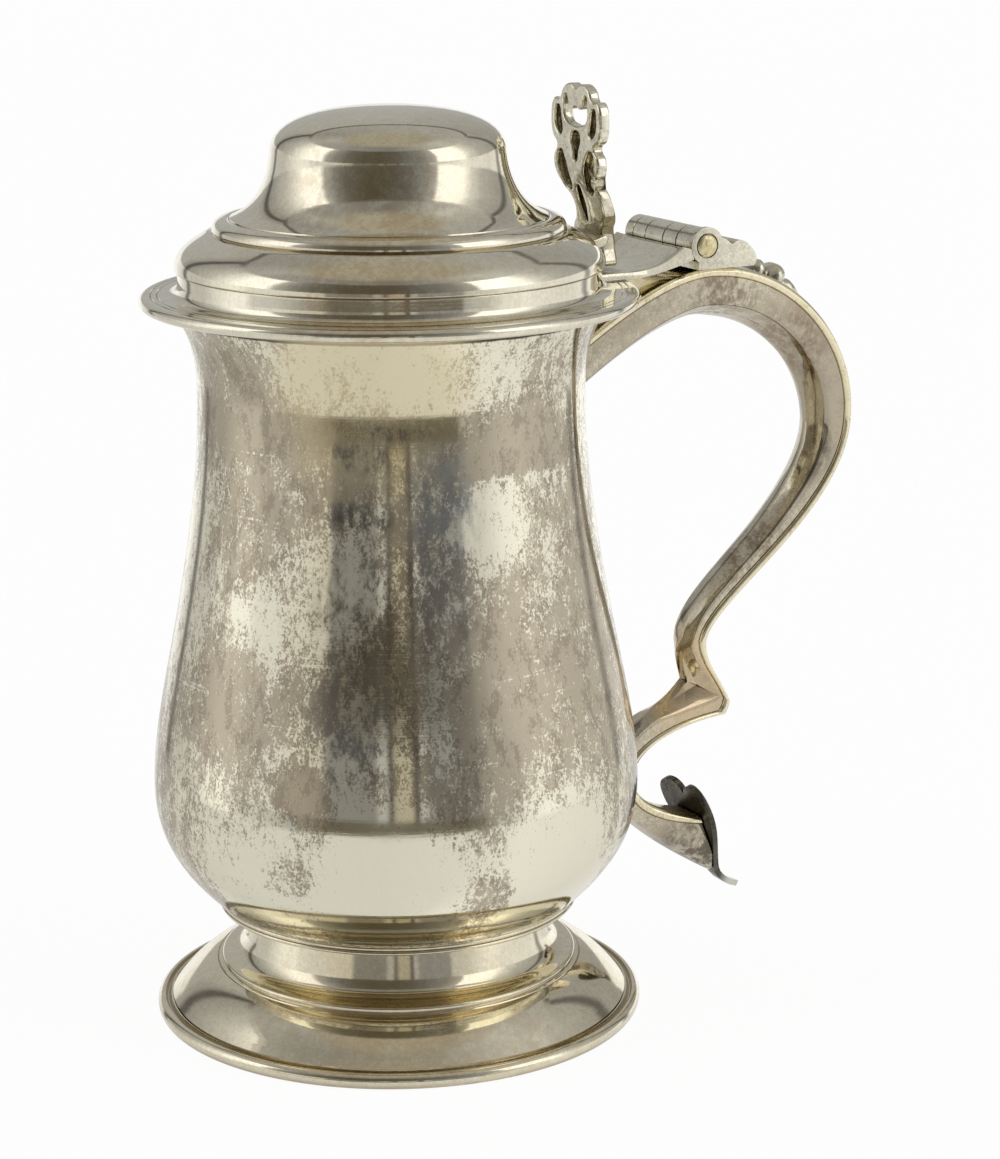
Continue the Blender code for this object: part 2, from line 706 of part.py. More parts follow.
def make_handle(frame, silver, pale, body_cutter):
    for level, places in (("upper", upper_sections()), ("lower", lower_sections())):
        channel = [channel_ring(*place) for place in places]
        strap = [strap_ring(place, inward, half) for place, inward, half, _, _ in places]
        cut(solid_from_rings(f"handle_{level}_channel", channel, frame, silver), body_cutter)
        back = solid_from_rings(f"handle_{level}_strap", strap, frame, pale)
        if level == "upper":
            cut(back, body_cutter)


def make_heart(frame, silver):
    """The heart plate that closes the tail: two lobes at the top, a tongue curling out at the foot."""
    end, down, away = tail_frame()
    top = end - down * HEART_ABOVE + away * (JOINT_GAP + HEART_THICKNESS / 2)
    half = HEART_WIDTH / 2
    notch = (0.0, HEART_HEIGHT * 0.11)
    widest = (half, HEART_HEIGHT * 0.27)
    lobe = bezier(notch, (half * 0.14, -HEART_HEIGHT * 0.06), (half, -HEART_HEIGHT * 0.07), widest, 6)
    neck = (1.9, HEART_HEIGHT)
    side = bezier(widest, (half, HEART_HEIGHT * 0.5), (half * 0.42, HEART_HEIGHT * 0.74), neck, 6)
    tip = (0.9, HEART_HEIGHT + HEART_TONGUE)
    side += bezier(neck, (1.7, HEART_HEIGHT + HEART_TONGUE * 0.3), (2.0, tip[1] - HEART_TONGUE * 0.3), tip, 4)

    def place(y, fall, face):
        """A point of the plate: y across, fall down its middle line, face -1 behind and +1 in front."""
        curl = max(fall - HEART_HEIGHT * 0.9, 0.0) / (HEART_TONGUE * 1.3)
        bend = math.radians(40) * min(curl, 1.0)
        straight = min(fall, HEART_HEIGHT * 0.9)
        spot = top + down * straight
        extra = fall - straight
        spot = spot + (down * math.cos(bend * 0.7) + away * math.sin(bend * 0.7)) * extra
        facing = away * math.cos(bend) - down * math.sin(bend)
        spot = spot + facing * face * HEART_THICKNESS / 2
        return (spot.x * MM, y * MM, spot.y * MM)

    mesh = bpy.data.meshes.new("heart_terminal")
    built = bmesh.new()
    borders = []
    for face in (-1, 1):
        middle = [built.verts.new(place(0, fall, face)) for _, fall in [widest, *side]]
        dip = built.verts.new(place(*notch, face))
        border = [dip]
        for sign in (1, -1):
            bow = [built.verts.new(place(y * sign, fall, face)) for y, fall in lobe]
            edge = [bow[-1]] + [built.verts.new(place(y * sign, fall, face)) for y, fall in side]
            built.faces.new([dip, *bow, middle[0]])
            for index in range(len(side)):
                built.faces.new((edge[index], edge[index + 1], middle[index + 1], middle[index]))
            ring = bow + edge[1:]
            border += ring + [middle[-1]] if sign > 0 else ring[::-1]
        borders.append(border)
    back, front = borders
    for index in range(len(back)):
        after = (index + 1) % len(back)
        built.faces.new((back[index], back[after], front[after], front[index]))
    bmesh.ops.recalc_face_normals(built, faces=built.faces)
    built.to_mesh(mesh)
    built.free()
    smooth(mesh)
    add_object("heart_terminal", mesh, frame, silver)


def make_drop(frame, silver):
    """The baluster drop on the handle's back behind the hinge: neck, bead, two rings and a tongue."""
    marks = (
        (0.0, 0.3, 0.5),
        (0.3, 0.34, 0.5),
        (0.34, 0.7, 0.8),
        (0.39, 0.9, 1.0),
        (0.44, 0.7, 0.8),
        (0.47, 0.6, 0.6),
        (0.5, 0.94, 0.94),
        (0.57, 0.94, 0.94),
        (0.6, 0.66, 0.6),
        (0.63, 1.0, 0.94),
        (0.69, 1.0, 0.94),
        (0.72, 0.7, 0.6),
        (0.76, 0.9, 0.85),
        (0.88, 0.6, 0.6),
        (1.0, 0.14, 0.2),
    )
    line = [Vector(point) for point in handle_line()]
    start = HINGE_REACH + BLOCK_LENGTH + JOINT_GAP + 0.5
    rings = []
    for share, wide, high in marks:
        left = DROP_LENGTH * share
        place = None
        for low, top in zip(line, line[1:]):
            if top.x <= start or top.y < SPUR_Z + SCROLL_FALL:
                continue
            first = low.lerp(top, max((start - low.x) / (top.x - low.x), 0.0)) if low.x < start else low
            span = (top - first).length
            if left <= span:
                place = first.lerp(top, left / span)
                run = (top - first).normalized()
                break
            left -= span
        out = Vector((-run.y, run.x))
        half = DROP_WIDTH / 2 * wide
        height = DROP_HEIGHT * high
        dome = [(half, JOINT_GAP), (half, height * 0.45), (half * 0.62, height * 0.9), (0.0, height)]
        dome += [(-y, rise) for y, rise in reversed(dome[:-1])]
        rings.append([(place.x + out.x * r, y, place.y + out.y * r) for y, r in dome])
    solid_from_rings("hinge_drop", rings, frame, silver)


def thumb_outline():
    """The thumbpiece's edge and its pierced slots, as shares of the half width and of the height."""
    edge = [(0.0, 0.975), (0.2, 0.998), (0.5, 0.97), (0.68, 0.917), (0.9, 0.9), (1.0, 0.815), (0.9, 0.69)]
    edge += [(0.78, 0.654), (0.88, 0.576), (0.84, 0.486), (0.66, 0.371), (0.57, 0.3), (0.6, 0.21), (0.72, 0.1)]
    edge += [(0.96, 0.0), (0.5, 0.0), (0.0, 0.0)]
    edge += [(-s, h) for s, h in reversed(edge[1:-1])]
    crown = [(0.0, 0.876), (0.12, 0.858), (0.26, 0.868), (0.33, 0.915), (0.4, 0.936), (0.45, 0.88), (0.42, 0.8)]
    crown += [(0.22, 0.775)]
    crown += [(-s, h) for s, h in reversed(crown[1:])]
    drop = [(0.0, 0.741), (0.17, 0.712), (0.1, 0.634), (0.0, 0.576)]
    stem = [(0.0, 0.445), (0.12, 0.371), (0.08, 0.28), (0.0, 0.24)]
    high = [(0.72, 0.872), (0.82, 0.815), (0.72, 0.724), (0.58, 0.716), (0.58, 0.798)]
    mid = [(0.6, 0.634), (0.72, 0.568), (0.6, 0.453), (0.4, 0.387), (0.34, 0.453), (0.42, 0.568)]
    slots = [crown, high, mid]
    slots += [[(-s, h) for s, h in slot] for slot in (high, mid)]
    slots += [slot + [(-s, h) for s, h in reversed(slot[1:-1])] for slot in (drop, stem)]
    return edge, slots


def make_thumbpiece(hinge, silver):
    edge, slots = thumb_outline()
    foot = BAND_Z + LEAF_THICKNESS + JOINT_GAP
    guide = bpy.data.curves.new("thumbpiece_outline", "CURVE")
    guide.dimensions = "2D"
    guide.fill_mode = "BOTH"
    guide.resolution_u = 3
    guide.extrude = THUMB_THICKNESS / 2 * MM
    for outline in [edge, *slots]:
        run = guide.splines.new("BEZIER")
        run.bezier_points.add(len(outline) - 1)
        run.use_cyclic_u = True
        for knot, (across, rise) in zip(run.bezier_points, outline):
            knot.co = (across * THUMB_WIDTH / 2 * MM, rise * THUMB_HEIGHT * MM, 0.0)
            knot.handle_left_type = "AUTO"
            knot.handle_right_type = "AUTO"
    holder = bpy.data.objects.new("thumbpiece_outline", guide)
    mesh = bpy.data.meshes.new_from_object(holder)
    bpy.data.objects.remove(holder)
    mesh.name = "thumbpiece"
    built = bmesh.new()
    built.from_mesh(mesh)
    bmesh.ops.remove_doubles(built, verts=built.verts, dist=0.00001)
    for vert in built.verts:
        across, rise, depth = vert.co / MM
        rise = max(rise, 0.0)
        share = min(max((rise / THUMB_HEIGHT - 0.1) / 0.45, 0.0), 1.0)
        ease = share * share * (3 - 2 * share)
        thick = THUMB_FOOT_THICKNESS + (THUMB_THICKNESS - THUMB_FOOT_THICKNESS) * ease
        back = (0.5 + depth / THUMB_THICKNESS) * thick
        vert.co = Vector((THUMB_REACH + back - THUMB_SWEEP * ease, across, foot + rise)) * MM
    built.to_mesh(mesh)
    built.free()
    smooth(mesh)
    add_object("thumbpiece", mesh, hinge, silver)


clear_scene()
body_silver = metal("body_silver", (0.56, 0.52, 0.44), 0.26)
foot_silver = metal("foot_silver", (0.6, 0.55, 0.46), 0.2)
lid_silver = metal("lid_silver", (0.62, 0.57, 0.48), 0.2)
handle_silver = metal("handle_silver", (0.54, 0.48, 0.41), 0.3)
strap_silver = metal("strap_silver", (0.68, 0.63, 0.5), 0.28)
hinge_silver = metal("hinge_silver", (0.64, 0.61, 0.52), 0.3)
thumb_silver = metal("thumb_silver", (0.58, 0.54, 0.46), 0.3)
heart_silver = metal("heart_silver", (0.3, 0.28, 0.23), 0.4)
pin_brass = metal("pin_brass", (0.71, 0.6, 0.32), 0.35)
tankard = empty("tankard", None, (-FRAME_SHIFT, 0, 0))
lid_hinge = empty("lid_hinge", tankard, (HINGE_REACH, 0, HINGE_Z))

body_cutter = as_cutter(
    turn(
        "body_cutter",
        [(0.0, MOUTH_Z)] + offset_out(body_outline(), JOINT_GAP) + [(0.0, BODY_Z)],
        tankard,
        None,
        closed=False,
    )
)
lid_shell = [(BAND_RADIUS, TORUS_Z), (BAND_RADIUS, BAND_Z - FLANGE_THICKNESS)]
lid_cutter = as_cutter(
    turn(
        "lid_cutter",
        offset_out(lid_outline() + lid_shell, JOINT_GAP) + [(0.0, BAND_Z - FLANGE_THICKNESS)],
        lid_hinge,
        None,
        closed=False,
    )
)
make_body(tankard, body_silver)
make_foot(tankard, foot_silver)
make_lid(lid_hinge, lid_silver)
make_hinge(tankard, lid_hinge, hinge_silver, pin_brass, lid_cutter)
make_handle(tankard, handle_silver, strap_silver, body_cutter)
make_heart(tankard, heart_silver)
make_drop(tankard, hinge_silver)
make_thumbpiece(lid_hinge, thumb_silver)
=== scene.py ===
"""A lidded silver tankard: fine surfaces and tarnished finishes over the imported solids."""

import math

import bmesh
import bpy
from mathutils import Matrix, Vector


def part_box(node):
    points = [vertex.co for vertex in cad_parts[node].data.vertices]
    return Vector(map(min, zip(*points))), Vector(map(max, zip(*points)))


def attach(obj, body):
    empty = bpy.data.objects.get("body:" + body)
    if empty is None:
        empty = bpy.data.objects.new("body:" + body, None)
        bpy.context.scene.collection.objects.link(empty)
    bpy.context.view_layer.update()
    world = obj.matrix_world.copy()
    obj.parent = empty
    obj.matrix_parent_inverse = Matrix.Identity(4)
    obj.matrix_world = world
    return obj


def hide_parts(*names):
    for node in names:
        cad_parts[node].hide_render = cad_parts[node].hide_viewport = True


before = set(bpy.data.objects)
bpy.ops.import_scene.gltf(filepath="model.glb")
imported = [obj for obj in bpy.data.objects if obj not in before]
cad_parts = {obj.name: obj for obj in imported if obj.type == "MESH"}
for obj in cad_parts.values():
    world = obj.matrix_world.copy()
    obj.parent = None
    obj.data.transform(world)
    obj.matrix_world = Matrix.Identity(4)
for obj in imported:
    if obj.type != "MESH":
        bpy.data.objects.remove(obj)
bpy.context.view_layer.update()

# Foot rim
# The heavy half-round wire that the tankard stands on, drawn in silver.
# It is bent to a ring and soldered under the foot's apron.
MM = 0.001
AXIS_X = -33.75
MERGE = 0.000002


def placed(out, across, up):
    """A spot of the shared frame, from millimetres out from the vessel's axis, across and up."""
    return Vector(((AXIS_X + out) * MM, across * MM, up * MM))


def finish_mesh(merge=0.0):
    """Leaves edit mode with close points merged and every face turned outward."""
    bpy.ops.mesh.select_all(action="SELECT")
    if merge:
        bpy.ops.mesh.remove_doubles(threshold=merge)
    bpy.ops.mesh.normals_make_consistent(inside=False)
    bpy.ops.object.mode_set(mode="OBJECT")


def turned(name, outline, steps=200, fine=10):
    """Draws a half section as a curve of (radius, height) runs and spins it round the vessel's axis."""
    bpy.ops.object.select_all(action="DESELECT")
    bpy.ops.curve.primitive_bezier_curve_add()
    drawn = bpy.context.object
    drawn.data.resolution_u = fine
    knots = drawn.data.splines[0].bezier_points
    knots.add(len(outline) - 2)
    runs = [run if isinstance(run[0], tuple) else (run,) for run in outline]
    runs = [[placed(r, 0.0, z) for r, z in run] for run in runs]
    for knot, run in zip(knots, runs):
        knot.handle_left_type = knot.handle_right_type = "FREE"
        knot.co = knot.handle_left = knot.handle_right = run[-1]
    for start, knot, run in zip(knots, knots[1:], runs[1:]):
        if len(run) == 3:
            start.handle_right, knot.handle_left = run[:2]
    bpy.ops.object.convert(target="MESH")
    piece = bpy.context.object
    piece.name = piece.data.name = name
    bpy.ops.object.mode_set(mode="EDIT")
    bpy.ops.mesh.select_all(action="SELECT")
    bpy.ops.mesh.remove_doubles(threshold=MERGE)
    bpy.ops.mesh.select_all(action="SELECT")
    bpy.ops.mesh.spin(steps=steps, angle=math.tau, center=(AXIS_X * MM, 0, 0), axis=(0, 0, 1))
    finish_mesh(MERGE)
    return piece


def soften(piece, degrees=32):
    """Shades a piece smooth, except over edges sharper than the angle."""
    bpy.ops.object.select_all(action="DESELECT")
    piece.select_set(True)
    bpy.context.view_layer.objects.active = piece
    bpy.ops.object.shade_smooth_by_angle(angle=math.radians(degrees))


def wired(tree, kind, inputs, **settings):
    """Adds a shader node with its settings, and links or sets each of its inputs."""
    node = tree.nodes.new("ShaderNode" + kind)
    for key, value in settings.items():
        setattr(node, key, value)
    for key, value in inputs.items():
        if isinstance(value, bpy.types.NodeSocket):
            tree.links.new(value, node.inputs[key])
        else:
            node.inputs[key].default_value = value
    return node


def old_silver(
    name, clean, tarnish, stain, cover, polish, haze, veil, edge=0.04, drag=0.5, shift=0.0, ripple=0.1, patches=(),
    gold=None, hollow_tarnish_and_shade=0.0, smudges=(), tide=None, wave=26.0, tint=0.45, flange_shade_level=None,
):
    """Polished silver under a broken, duller film: clouds, mottling and specks, with rubbing lines through it."""
    metal = bpy.data.materials.new(name)
    metal.use_nodes = True
    tree = metal.node_tree
    place = wired(tree, "TexCoord", {}).outputs["Object"]

    def grain(scale, detail, rough, stretch, turn=(0.0, 0.0, 0.0), twist=0.0):
        moved = (shift, shift * 0.7, shift * 1.3)
        lay = wired(tree, "Mapping", {"Vector": place, "Location": moved, "Rotation": turn, "Scale": stretch})
        size = {"Vector": lay.outputs["Vector"], "Scale": scale, "Detail": detail}
        return wired(tree, "TexNoise", {**size, "Roughness": rough, "Distortion": twist}).outputs["Fac"]

    def sum_of(parts):
        total = 0.0
        for value, weight in parts:
            total = wired(tree, "Math", {0: value, 1: weight, 2: total}, operation="MULTIPLY_ADD").outputs[0]
        return total

    def product(first, second):
        return wired(tree, "Math", {0: first, 1: second}, operation="MULTIPLY").outputs[0]

    def ease(value, low, high, start=0.0, end=1.0):
        ends = {"From Min": low, "From Max": high, "To Min": start, "To Max": end}
        return wired(tree, "MapRange", {"Value": value, **ends}, interpolation_type="SMOOTHSTEP").outputs["Result"]

    def near(spot, reach, squash=1.0):
        flat = wired(tree, "VectorMath", {0: place, 1: (1.0, 1.0, squash)}, operation="MULTIPLY").outputs["Vector"]
        middle = Vector((spot[0], spot[1], spot[2] * squash)) * MM
        away = wired(tree, "VectorMath", {0: flat, 1: middle}, operation="DISTANCE").outputs["Value"]
        return ease(away, reach * 0.35 * MM, reach * MM, 1.0, 0.0)

    def stained(base, colour, amount):
        base = (*base, 1.0) if isinstance(base, tuple) else base
        mix = {"Factor": amount, "A": base, "B": (*colour, 1.0)}
        return wired(tree, "Mix", mix, data_type="RGBA").outputs["Result"]

    even = (1.0, 1.0, 1.0)
    dragged = (1.0, 1.0, drag)
    clouds = grain(34.0, 3.0, 0.55, dragged)
    mottle = grain(170.0, 9.0, 0.75, dragged, twist=0.2)
    flakes = grain(700.0, 6.0, 0.72, dragged)
    specks = grain(1800.0, 4.0, 0.7, (1.0, 1.0, 0.8))
    marks = ease(grain(1.0, 1.0, 0.4, (25.0, 25.0, 800.0), (0.3, 1.15, 0.7)), 0.7, 0.74)
    blend = [(clouds, 0.22), (mottle, 0.22), (flakes, 0.28), (specks, 0.28), (marks, -0.03)]
    blend += [(near(spot, reach), amount) for spot, reach, amount in patches]
    # Darker in hollows and close corners, from an ambient occlusion mask: tarnish gathered there, with painted shade in
    # the same places.
    if hollow_tarnish_and_shade:
        hollows = wired(tree, "AmbientOcclusion", {"Distance": 3.0 * MM}, samples=6)
        tarnish_and_shade_mask = ease(hollows.outputs["AO"], 0.3, 0.8, 1.0, 0.0)
        blend.append((tarnish_and_shade_mask, hollow_tarnish_and_shade))
    height = wired(tree, "SeparateXYZ", {0: place}).outputs["Z"]
    if tide:
        level, spot, reach, amount = tide
        ragged = sum_of(((height, 1.0), (mottle, 0.008)))
        above = ease(ragged, (level + 3.4) * MM, (level + 4.6) * MM)
        blend.append((product(above, near(spot, reach)), amount))
    middle = 0.5 - (cover - 0.5) * 0.2
    film = ease(sum_of(blend), middle - edge, middle + edge)
    flecks = ease(sum_of(((grain(260.0, 8.0, 0.72, dragged), 0.7), (specks, 0.3))), 0.48, 0.58)
    smear = grain(60.0, 6.0, 0.6, even)
    lines = grain(1.0, 2.0, 0.5, (40.0, 40.0, 2400.0), (0.05, 0.03, 0.0))
    cross = grain(1.0, 2.0, 0.5, (900.0, 60.0, 1300.0), (0.5, 0.9, 0.4))
    hammered = {"Strength": ripple, "Distance": 0.052 / wave, "Height": grain(wave, 2.0, 0.4, even)}
    hand = wired(tree, "Bump", hammered).outputs["Normal"]
    rubbed = sum_of(((lines, 0.5), (cross, 0.5), (specks, 0.3)))
    rub = wired(tree, "Bump", {"Strength": 0.05, "Distance": 0.1 * MM, "Height": rubbed, "Normal": hand})

    fresh = stained(clean, tarnish, ease(film, 0.0, 1.0, 0.0, tint))
    aged = stained(tarnish, stain, ease(flecks, 0.0, 1.0, 0.0, 0.88))
    # The occlusion mask stains both films: tarnish in the hollows, and painted shade.
    if hollow_tarnish_and_shade:
        aged = stained(aged, stain, tarnish_and_shade_mask)
        fresh = stained(fresh, stain, ease(tarnish_and_shade_mask, 0.0, 1.0, 0.0, 0.7))
    layers = []
    # Painted shade: a near-black band round the top of the neck, where the lid's flange overhangs it.
    if flange_shade_level:
        flange_shade_height = sum_of(((height, 1.0), (mottle, 0.8 * MM)))
        layers.append(((0.06, 0.05, 0.04), ease(flange_shade_height, flange_shade_level * MM, (flange_shade_level + 0.4) * MM)))
    if gold:
        spot, reach, colour = gold
        layers.append((colour, ease(near(spot, reach), 0.0, 1.0, 0.0, 0.6)))
    if smudges:
        broken = ease(sum_of(((mottle, 1.0), (flakes, 0.5))), 0.66, 0.86, 0.0, 0.8)
        layers += [(colour, product(near(spot, reach, squash), broken)) for spot, reach, squash, colour in smudges]
    for colour, amount in layers:
        fresh, aged = stained(fresh, colour, amount), stained(aged, colour, amount)

    bright = tree.nodes["Principled BSDF"]
    dull = wired(tree, "BsdfPrincipled", {})
    for shader, colour, low, high in (
        (bright, fresh, polish, polish + 0.07), (dull, aged, haze - 0.05, haze + 0.08)
    ):
        shader.inputs["Metallic"].default_value = 1.0
        tree.links.new(rub.outputs["Normal"], shader.inputs["Normal"])
        tree.links.new(colour, shader.inputs["Base Color"])
        tree.links.new(ease(smear, 0.3, 0.7, low, high), shader.inputs["Roughness"])
    both = {0: ease(film, 0.0, 1.0, *veil), 1: bright.outputs[0], 2: dull.outputs[0]}
    skin = wired(tree, "MixShader", both)
    tree.links.new(skin.outputs[0], tree.nodes["Material Output"].inputs["Surface"])
    return metal


def seat(piece, body, slot, metal, *nodes):
    """Gives a piece its metal and sets it on its body in place of its solid."""
    piece.data.materials.clear()
    piece.data.materials.append(metal)
    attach(piece, body)
    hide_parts(*nodes)


foot_metal = old_silver(
    "foot_old_silver", clean=(0.9, 0.85, 0.67), tarnish=(0.58, 0.48, 0.32), stain=(0.36, 0.3, 0.21),
    cover=0.5, polish=0.025, haze=0.3, veil=(0.1, 0.18), edge=0.14, drag=1.0, shift=3.1, hollow_tarnish_and_shade=0.1,
    smudges=(((-68, -33, 9.7), 22, 1.0, (0.74, 0.64, 0.47)), ((-40, -48, 8.4), 24, 1.0, (0.74, 0.64, 0.47))),
)
rim = turned(
    "foot_rim_ring",
    [
        (53.4, 0.0), (53.4, 3.6), (54.9, 3.6), ((55.0, 2.7), (55.4, 2.4), (55.7, 2.5)),
        ((55.9, 2.6), (56.1, 2.9), (56.2, 3.45)), ((56.6, 3.6), (56.9, 3.5), (57.2, 3.3)),
        ((57.8, 2.9), (58.0, 2.4), (58.0, 1.8)), ((58.0, 0.9), (57.6, 0.2), (57.1, 0.0)), (53.4, 0.0),
    ],
    fine=6,
)
soften(rim)
seat(rim, "vessel", "foot_silver", foot_metal, "foot_rim")

# Foot
# The spool under the body: a stem like a trumpet, a narrow step and a sloping apron, spun from one sheet.
# A fine line is cut round it close below the step.
foot = turned(
    "foot_spool",
    [
        (40.4, 26.2), (34.6, 26.1), ((34.94, 23.3), (35.41, 20.5), (36.0, 17.7)),
        ((36.45, 15.8), (37.8, 14.15), (40.2, 13.85)), ((41.6, 13.75), (42.3, 13.6), (42.3, 13.1)), (42.3, 12.5),
        (43.2, 12.3), (43.35, 11.95), (43.65, 12.15), ((46.8, 11.2), (50.4, 8.2), (53.0, 5.3)), (54.4, 3.9),
        (51.8, 3.9), ((49.6, 6.2), (45.6, 9.6), (41.6, 11.2)), ((37.6, 12.3), (33.9, 16.4), (33.9, 20.4)),
        ((33.6, 23.2), (33.5, 25.0), (33.4, 27.4)), (40.4, 27.4), (40.4, 26.2),
    ],
    fine=8,
)
soften(foot)
seat(foot, "vessel", "foot_silver", foot_metal, "foot")

# Foot collar
# Two fine beads side by side, a drawn wire between the stem and the body.
# It is soldered to both.
collar = turned(
    "foot_collar_wire",
    [
        (39.0, 28.6), (42.3, 28.6), ((43.1, 28.5), (43.1, 27.35), (42.2, 27.3)),
        ((42.9, 27.25), (42.9, 26.3), (42.0, 26.2)), (39.0, 26.2), (39.0, 28.6),
    ],
    fine=6,
)
soften(collar)
seat(collar, "vessel", "foot_silver", foot_metal, "foot_collar")

# Body
# The baluster of the tankard, raised from one sheet of silver with a flared mouth and a sagging floor.
# Years of handling left it mottled brown and grey, with a few clean patches and long fine scratches.
# A thin band of painted shade runs round the top of the neck, under the lid's flange.
body_metal = old_silver(
    "body_old_silver", clean=(0.9, 0.86, 0.69), tarnish=(0.455, 0.392, 0.29), stain=(0.22, 0.168, 0.122),
    cover=0.52, polish=0.03, haze=0.26, veil=(0.06, 0.6), tint=0.75, hollow_tarnish_and_shade=0.14, flange_shade_level=167.9,
    patches=(
        ((-70, -27, 138), 20, 0.035), ((-78, -16, 124), 18, 0.03), ((-85, -14, 86), 20, 0.05),
        ((-22, -48, 104), 18, 0.02), ((-78, -8, 153), 22, 0.05), ((-33, -46, 126), 13, -0.08),
        ((-62, -36, 160), 20, -0.05), ((-36, -50, 98), 14, 0.03), ((-35, -53, 80), 14, 0.03),
        ((-59, -51, 46), 27, -0.1), ((-88, -26, 44), 24, -0.07), ((-24, -52, 45), 26, -0.09),
        ((-76, -36, 68), 9, 0.09), ((-72, -36, 90), 14, 0.03), ((-84, -22, 106), 14, -0.05),
        ((-64, -38, 112), 14, -0.02), ((-46, -46, 104), 18, -0.02), ((-79, -34, 48), 9, 0.07),
        ((-38, -54, 43), 10, 0.08), ((-40, -42, 160), 22, -0.05), ((-14, -52, 78), 24, 0.03),
        ((-2, -40, 94), 20, 0.03), ((-62, -44, 82), 12, -0.03), ((-44, -52, 78), 12, -0.03),
        ((-54, -46, 86), 14, -0.03),
    ),
    gold=((-58, -38, 158), 32, (0.8, 0.68, 0.42)),
    smudges=(
        ((-59.5, -36.8, 142.9), 12, 2.2, (0.1, 0.11, 0.11)), ((-61.3, -36.7, 129), 12, 2.4, (0.12, 0.12, 0.12)),
        ((-66, -42.3, 84), 14, 0.7, (0.3, 0.29, 0.26)), ((-45, -44.3, 130), 12, 0.6, (0.3, 0.31, 0.3)),
        ((-55, -39.4, 147.5), 12, 4.0, (0.15, 0.14, 0.13)), ((-62, -39, 108), 14, 0.8, (0.26, 0.22, 0.17)),
        ((-46, -47, 112), 12, 0.7, (0.3, 0.27, 0.23)),
    ),
    tide=(136.6, (-22, -45, 139), 22, 0.09),
)
body_outside = [
    (50.0, 169.3),
    ((47.6, 165.21), (44.8, 160.92), (44.8, 150.69)),
    ((44.8, 132.37), (47.285, 116.22), (51.0, 96.83)),
    ((53.81, 82.16), (57.3, 68.3), (57.3, 56.08)),
    ((57.3, 44.41), (52.24, 36.63), (42.8, 28.3)),
]
body = turned(
    "body_baluster",
    [
        (0.0, 27.6), ((14.0, 27.6), (28.0, 28.5), (39.8, 29.6)), ((50.4, 36.8), (56.0, 45.0), (56.0, 56.08)),
        ((56.0, 68.0), (52.5, 82.0), (49.7, 96.6)), ((46.0, 116.0), (43.5, 132.4), (43.5, 150.69)),
        ((43.5, 160.92), (46.3, 165.4), (48.4, 169.1)), ((48.6, 169.3), (48.8, 169.3), (49.0, 169.3)),
        *body_outside, (41.2, 28.3), ((28.0, 27.2), (14.0, 26.3), (0.0, 26.3)),
    ],
    fine=14,
)
soften(body, 40)
seat(body, "vessel", "body_silver", body_metal, "body")

# Handle
# A hollow double scroll: formed three-sided channels closed along the back by a flat crowned strap.
# The upper scroll rises from the neck, falls to a pointed spur, and the lower one returns to the belly.
handle_metal = old_silver(
    "handle_old_silver", clean=(0.69, 0.63, 0.49), tarnish=(0.39, 0.33, 0.24), stain=(0.2, 0.165, 0.12),
    cover=0.56, polish=0.035, haze=0.26, veil=(0.1, 0.36), edge=0.09, drag=0.8, shift=5.3, hollow_tarnish_and_shade=0.06,
    patches=(((86, -6, 142), 34, 0.09), ((40, -5, 26), 14, 0.06)),
    smudges=(
        ((51, -10, 166), 12, 1.0, (0.24, 0.18, 0.13)), ((71, -8, 150), 16, 1.0, (0.28, 0.2, 0.14)),
        ((79, -6, 124), 10, 1.0, (0.17, 0.15, 0.12)), ((62, -5.5, 101), 14, 1.0, (0.25, 0.17, 0.11)),
        ((45, -4, 26), 12, 1.0, (0.16, 0.13, 0.1)), ((51.5, -5, 21), 9, 1.0, (0.13, 0.11, 0.085)),
        ((49, -5, 25), 9, 1.0, (0.15, 0.13, 0.1)),
    ),
    gold=((44, -5, 70), 20, (0.66, 0.49, 0.28)),
)
# The strap's silver is painted brighter and yellower than the channels': painted light on a strap that the lamps leave
# in shade.
strap_metal_painted_light = old_silver(
    "strap_old_silver_painted_light", clean=(0.94, 0.85, 0.61), tarnish=(0.77, 0.66, 0.41), stain=(0.42, 0.35, 0.23),
    cover=0.32, polish=0.1, haze=0.36, veil=(0.1, 0.55), edge=0.06, drag=0.8, shift=7.7,
)
STRAP_THICKNESS = 2.4
STRAP_SEAM = 0.05
CHANNEL_WALL = 1.1
SOLDER_GAP = 0.3
SPUR_DEPTH = 13.8


def bent(start, leave, arrive, end, count):
    """Points of a smooth bend after its start, up to and with its end."""
    points = []
    for index in range(1, count + 1):
        t = index / count
        u = 1 - t
        points.append(start * u**3 + leave * 3 * u * u * t + arrive * 3 * u * t * t + end * t**3)
    return points


def at(marks, share):
    """The value at a share of the way along, on straight lines between (share, value) marks."""
    for (a, low), (b, high) in zip(marks, marks[1:]):
        if share <= b:
            return low + (high - low) * (share - a) / (b - a)
    return marks[-1][1]


def flat_shape(name, spots, fill="NGON"):
    """Starts a piece as one closed outline through the spots."""
    bpy.ops.object.select_all(action="DESELECT")
    bpy.ops.mesh.primitive_circle_add(vertices=len(spots), fill_type=fill)
    piece = bpy.context.object
    piece.name = piece.data.name = name
    for vert, spot in zip(piece.data.vertices, spots):
        vert.co = spot
    bpy.ops.object.mode_set(mode="EDIT")
    return piece


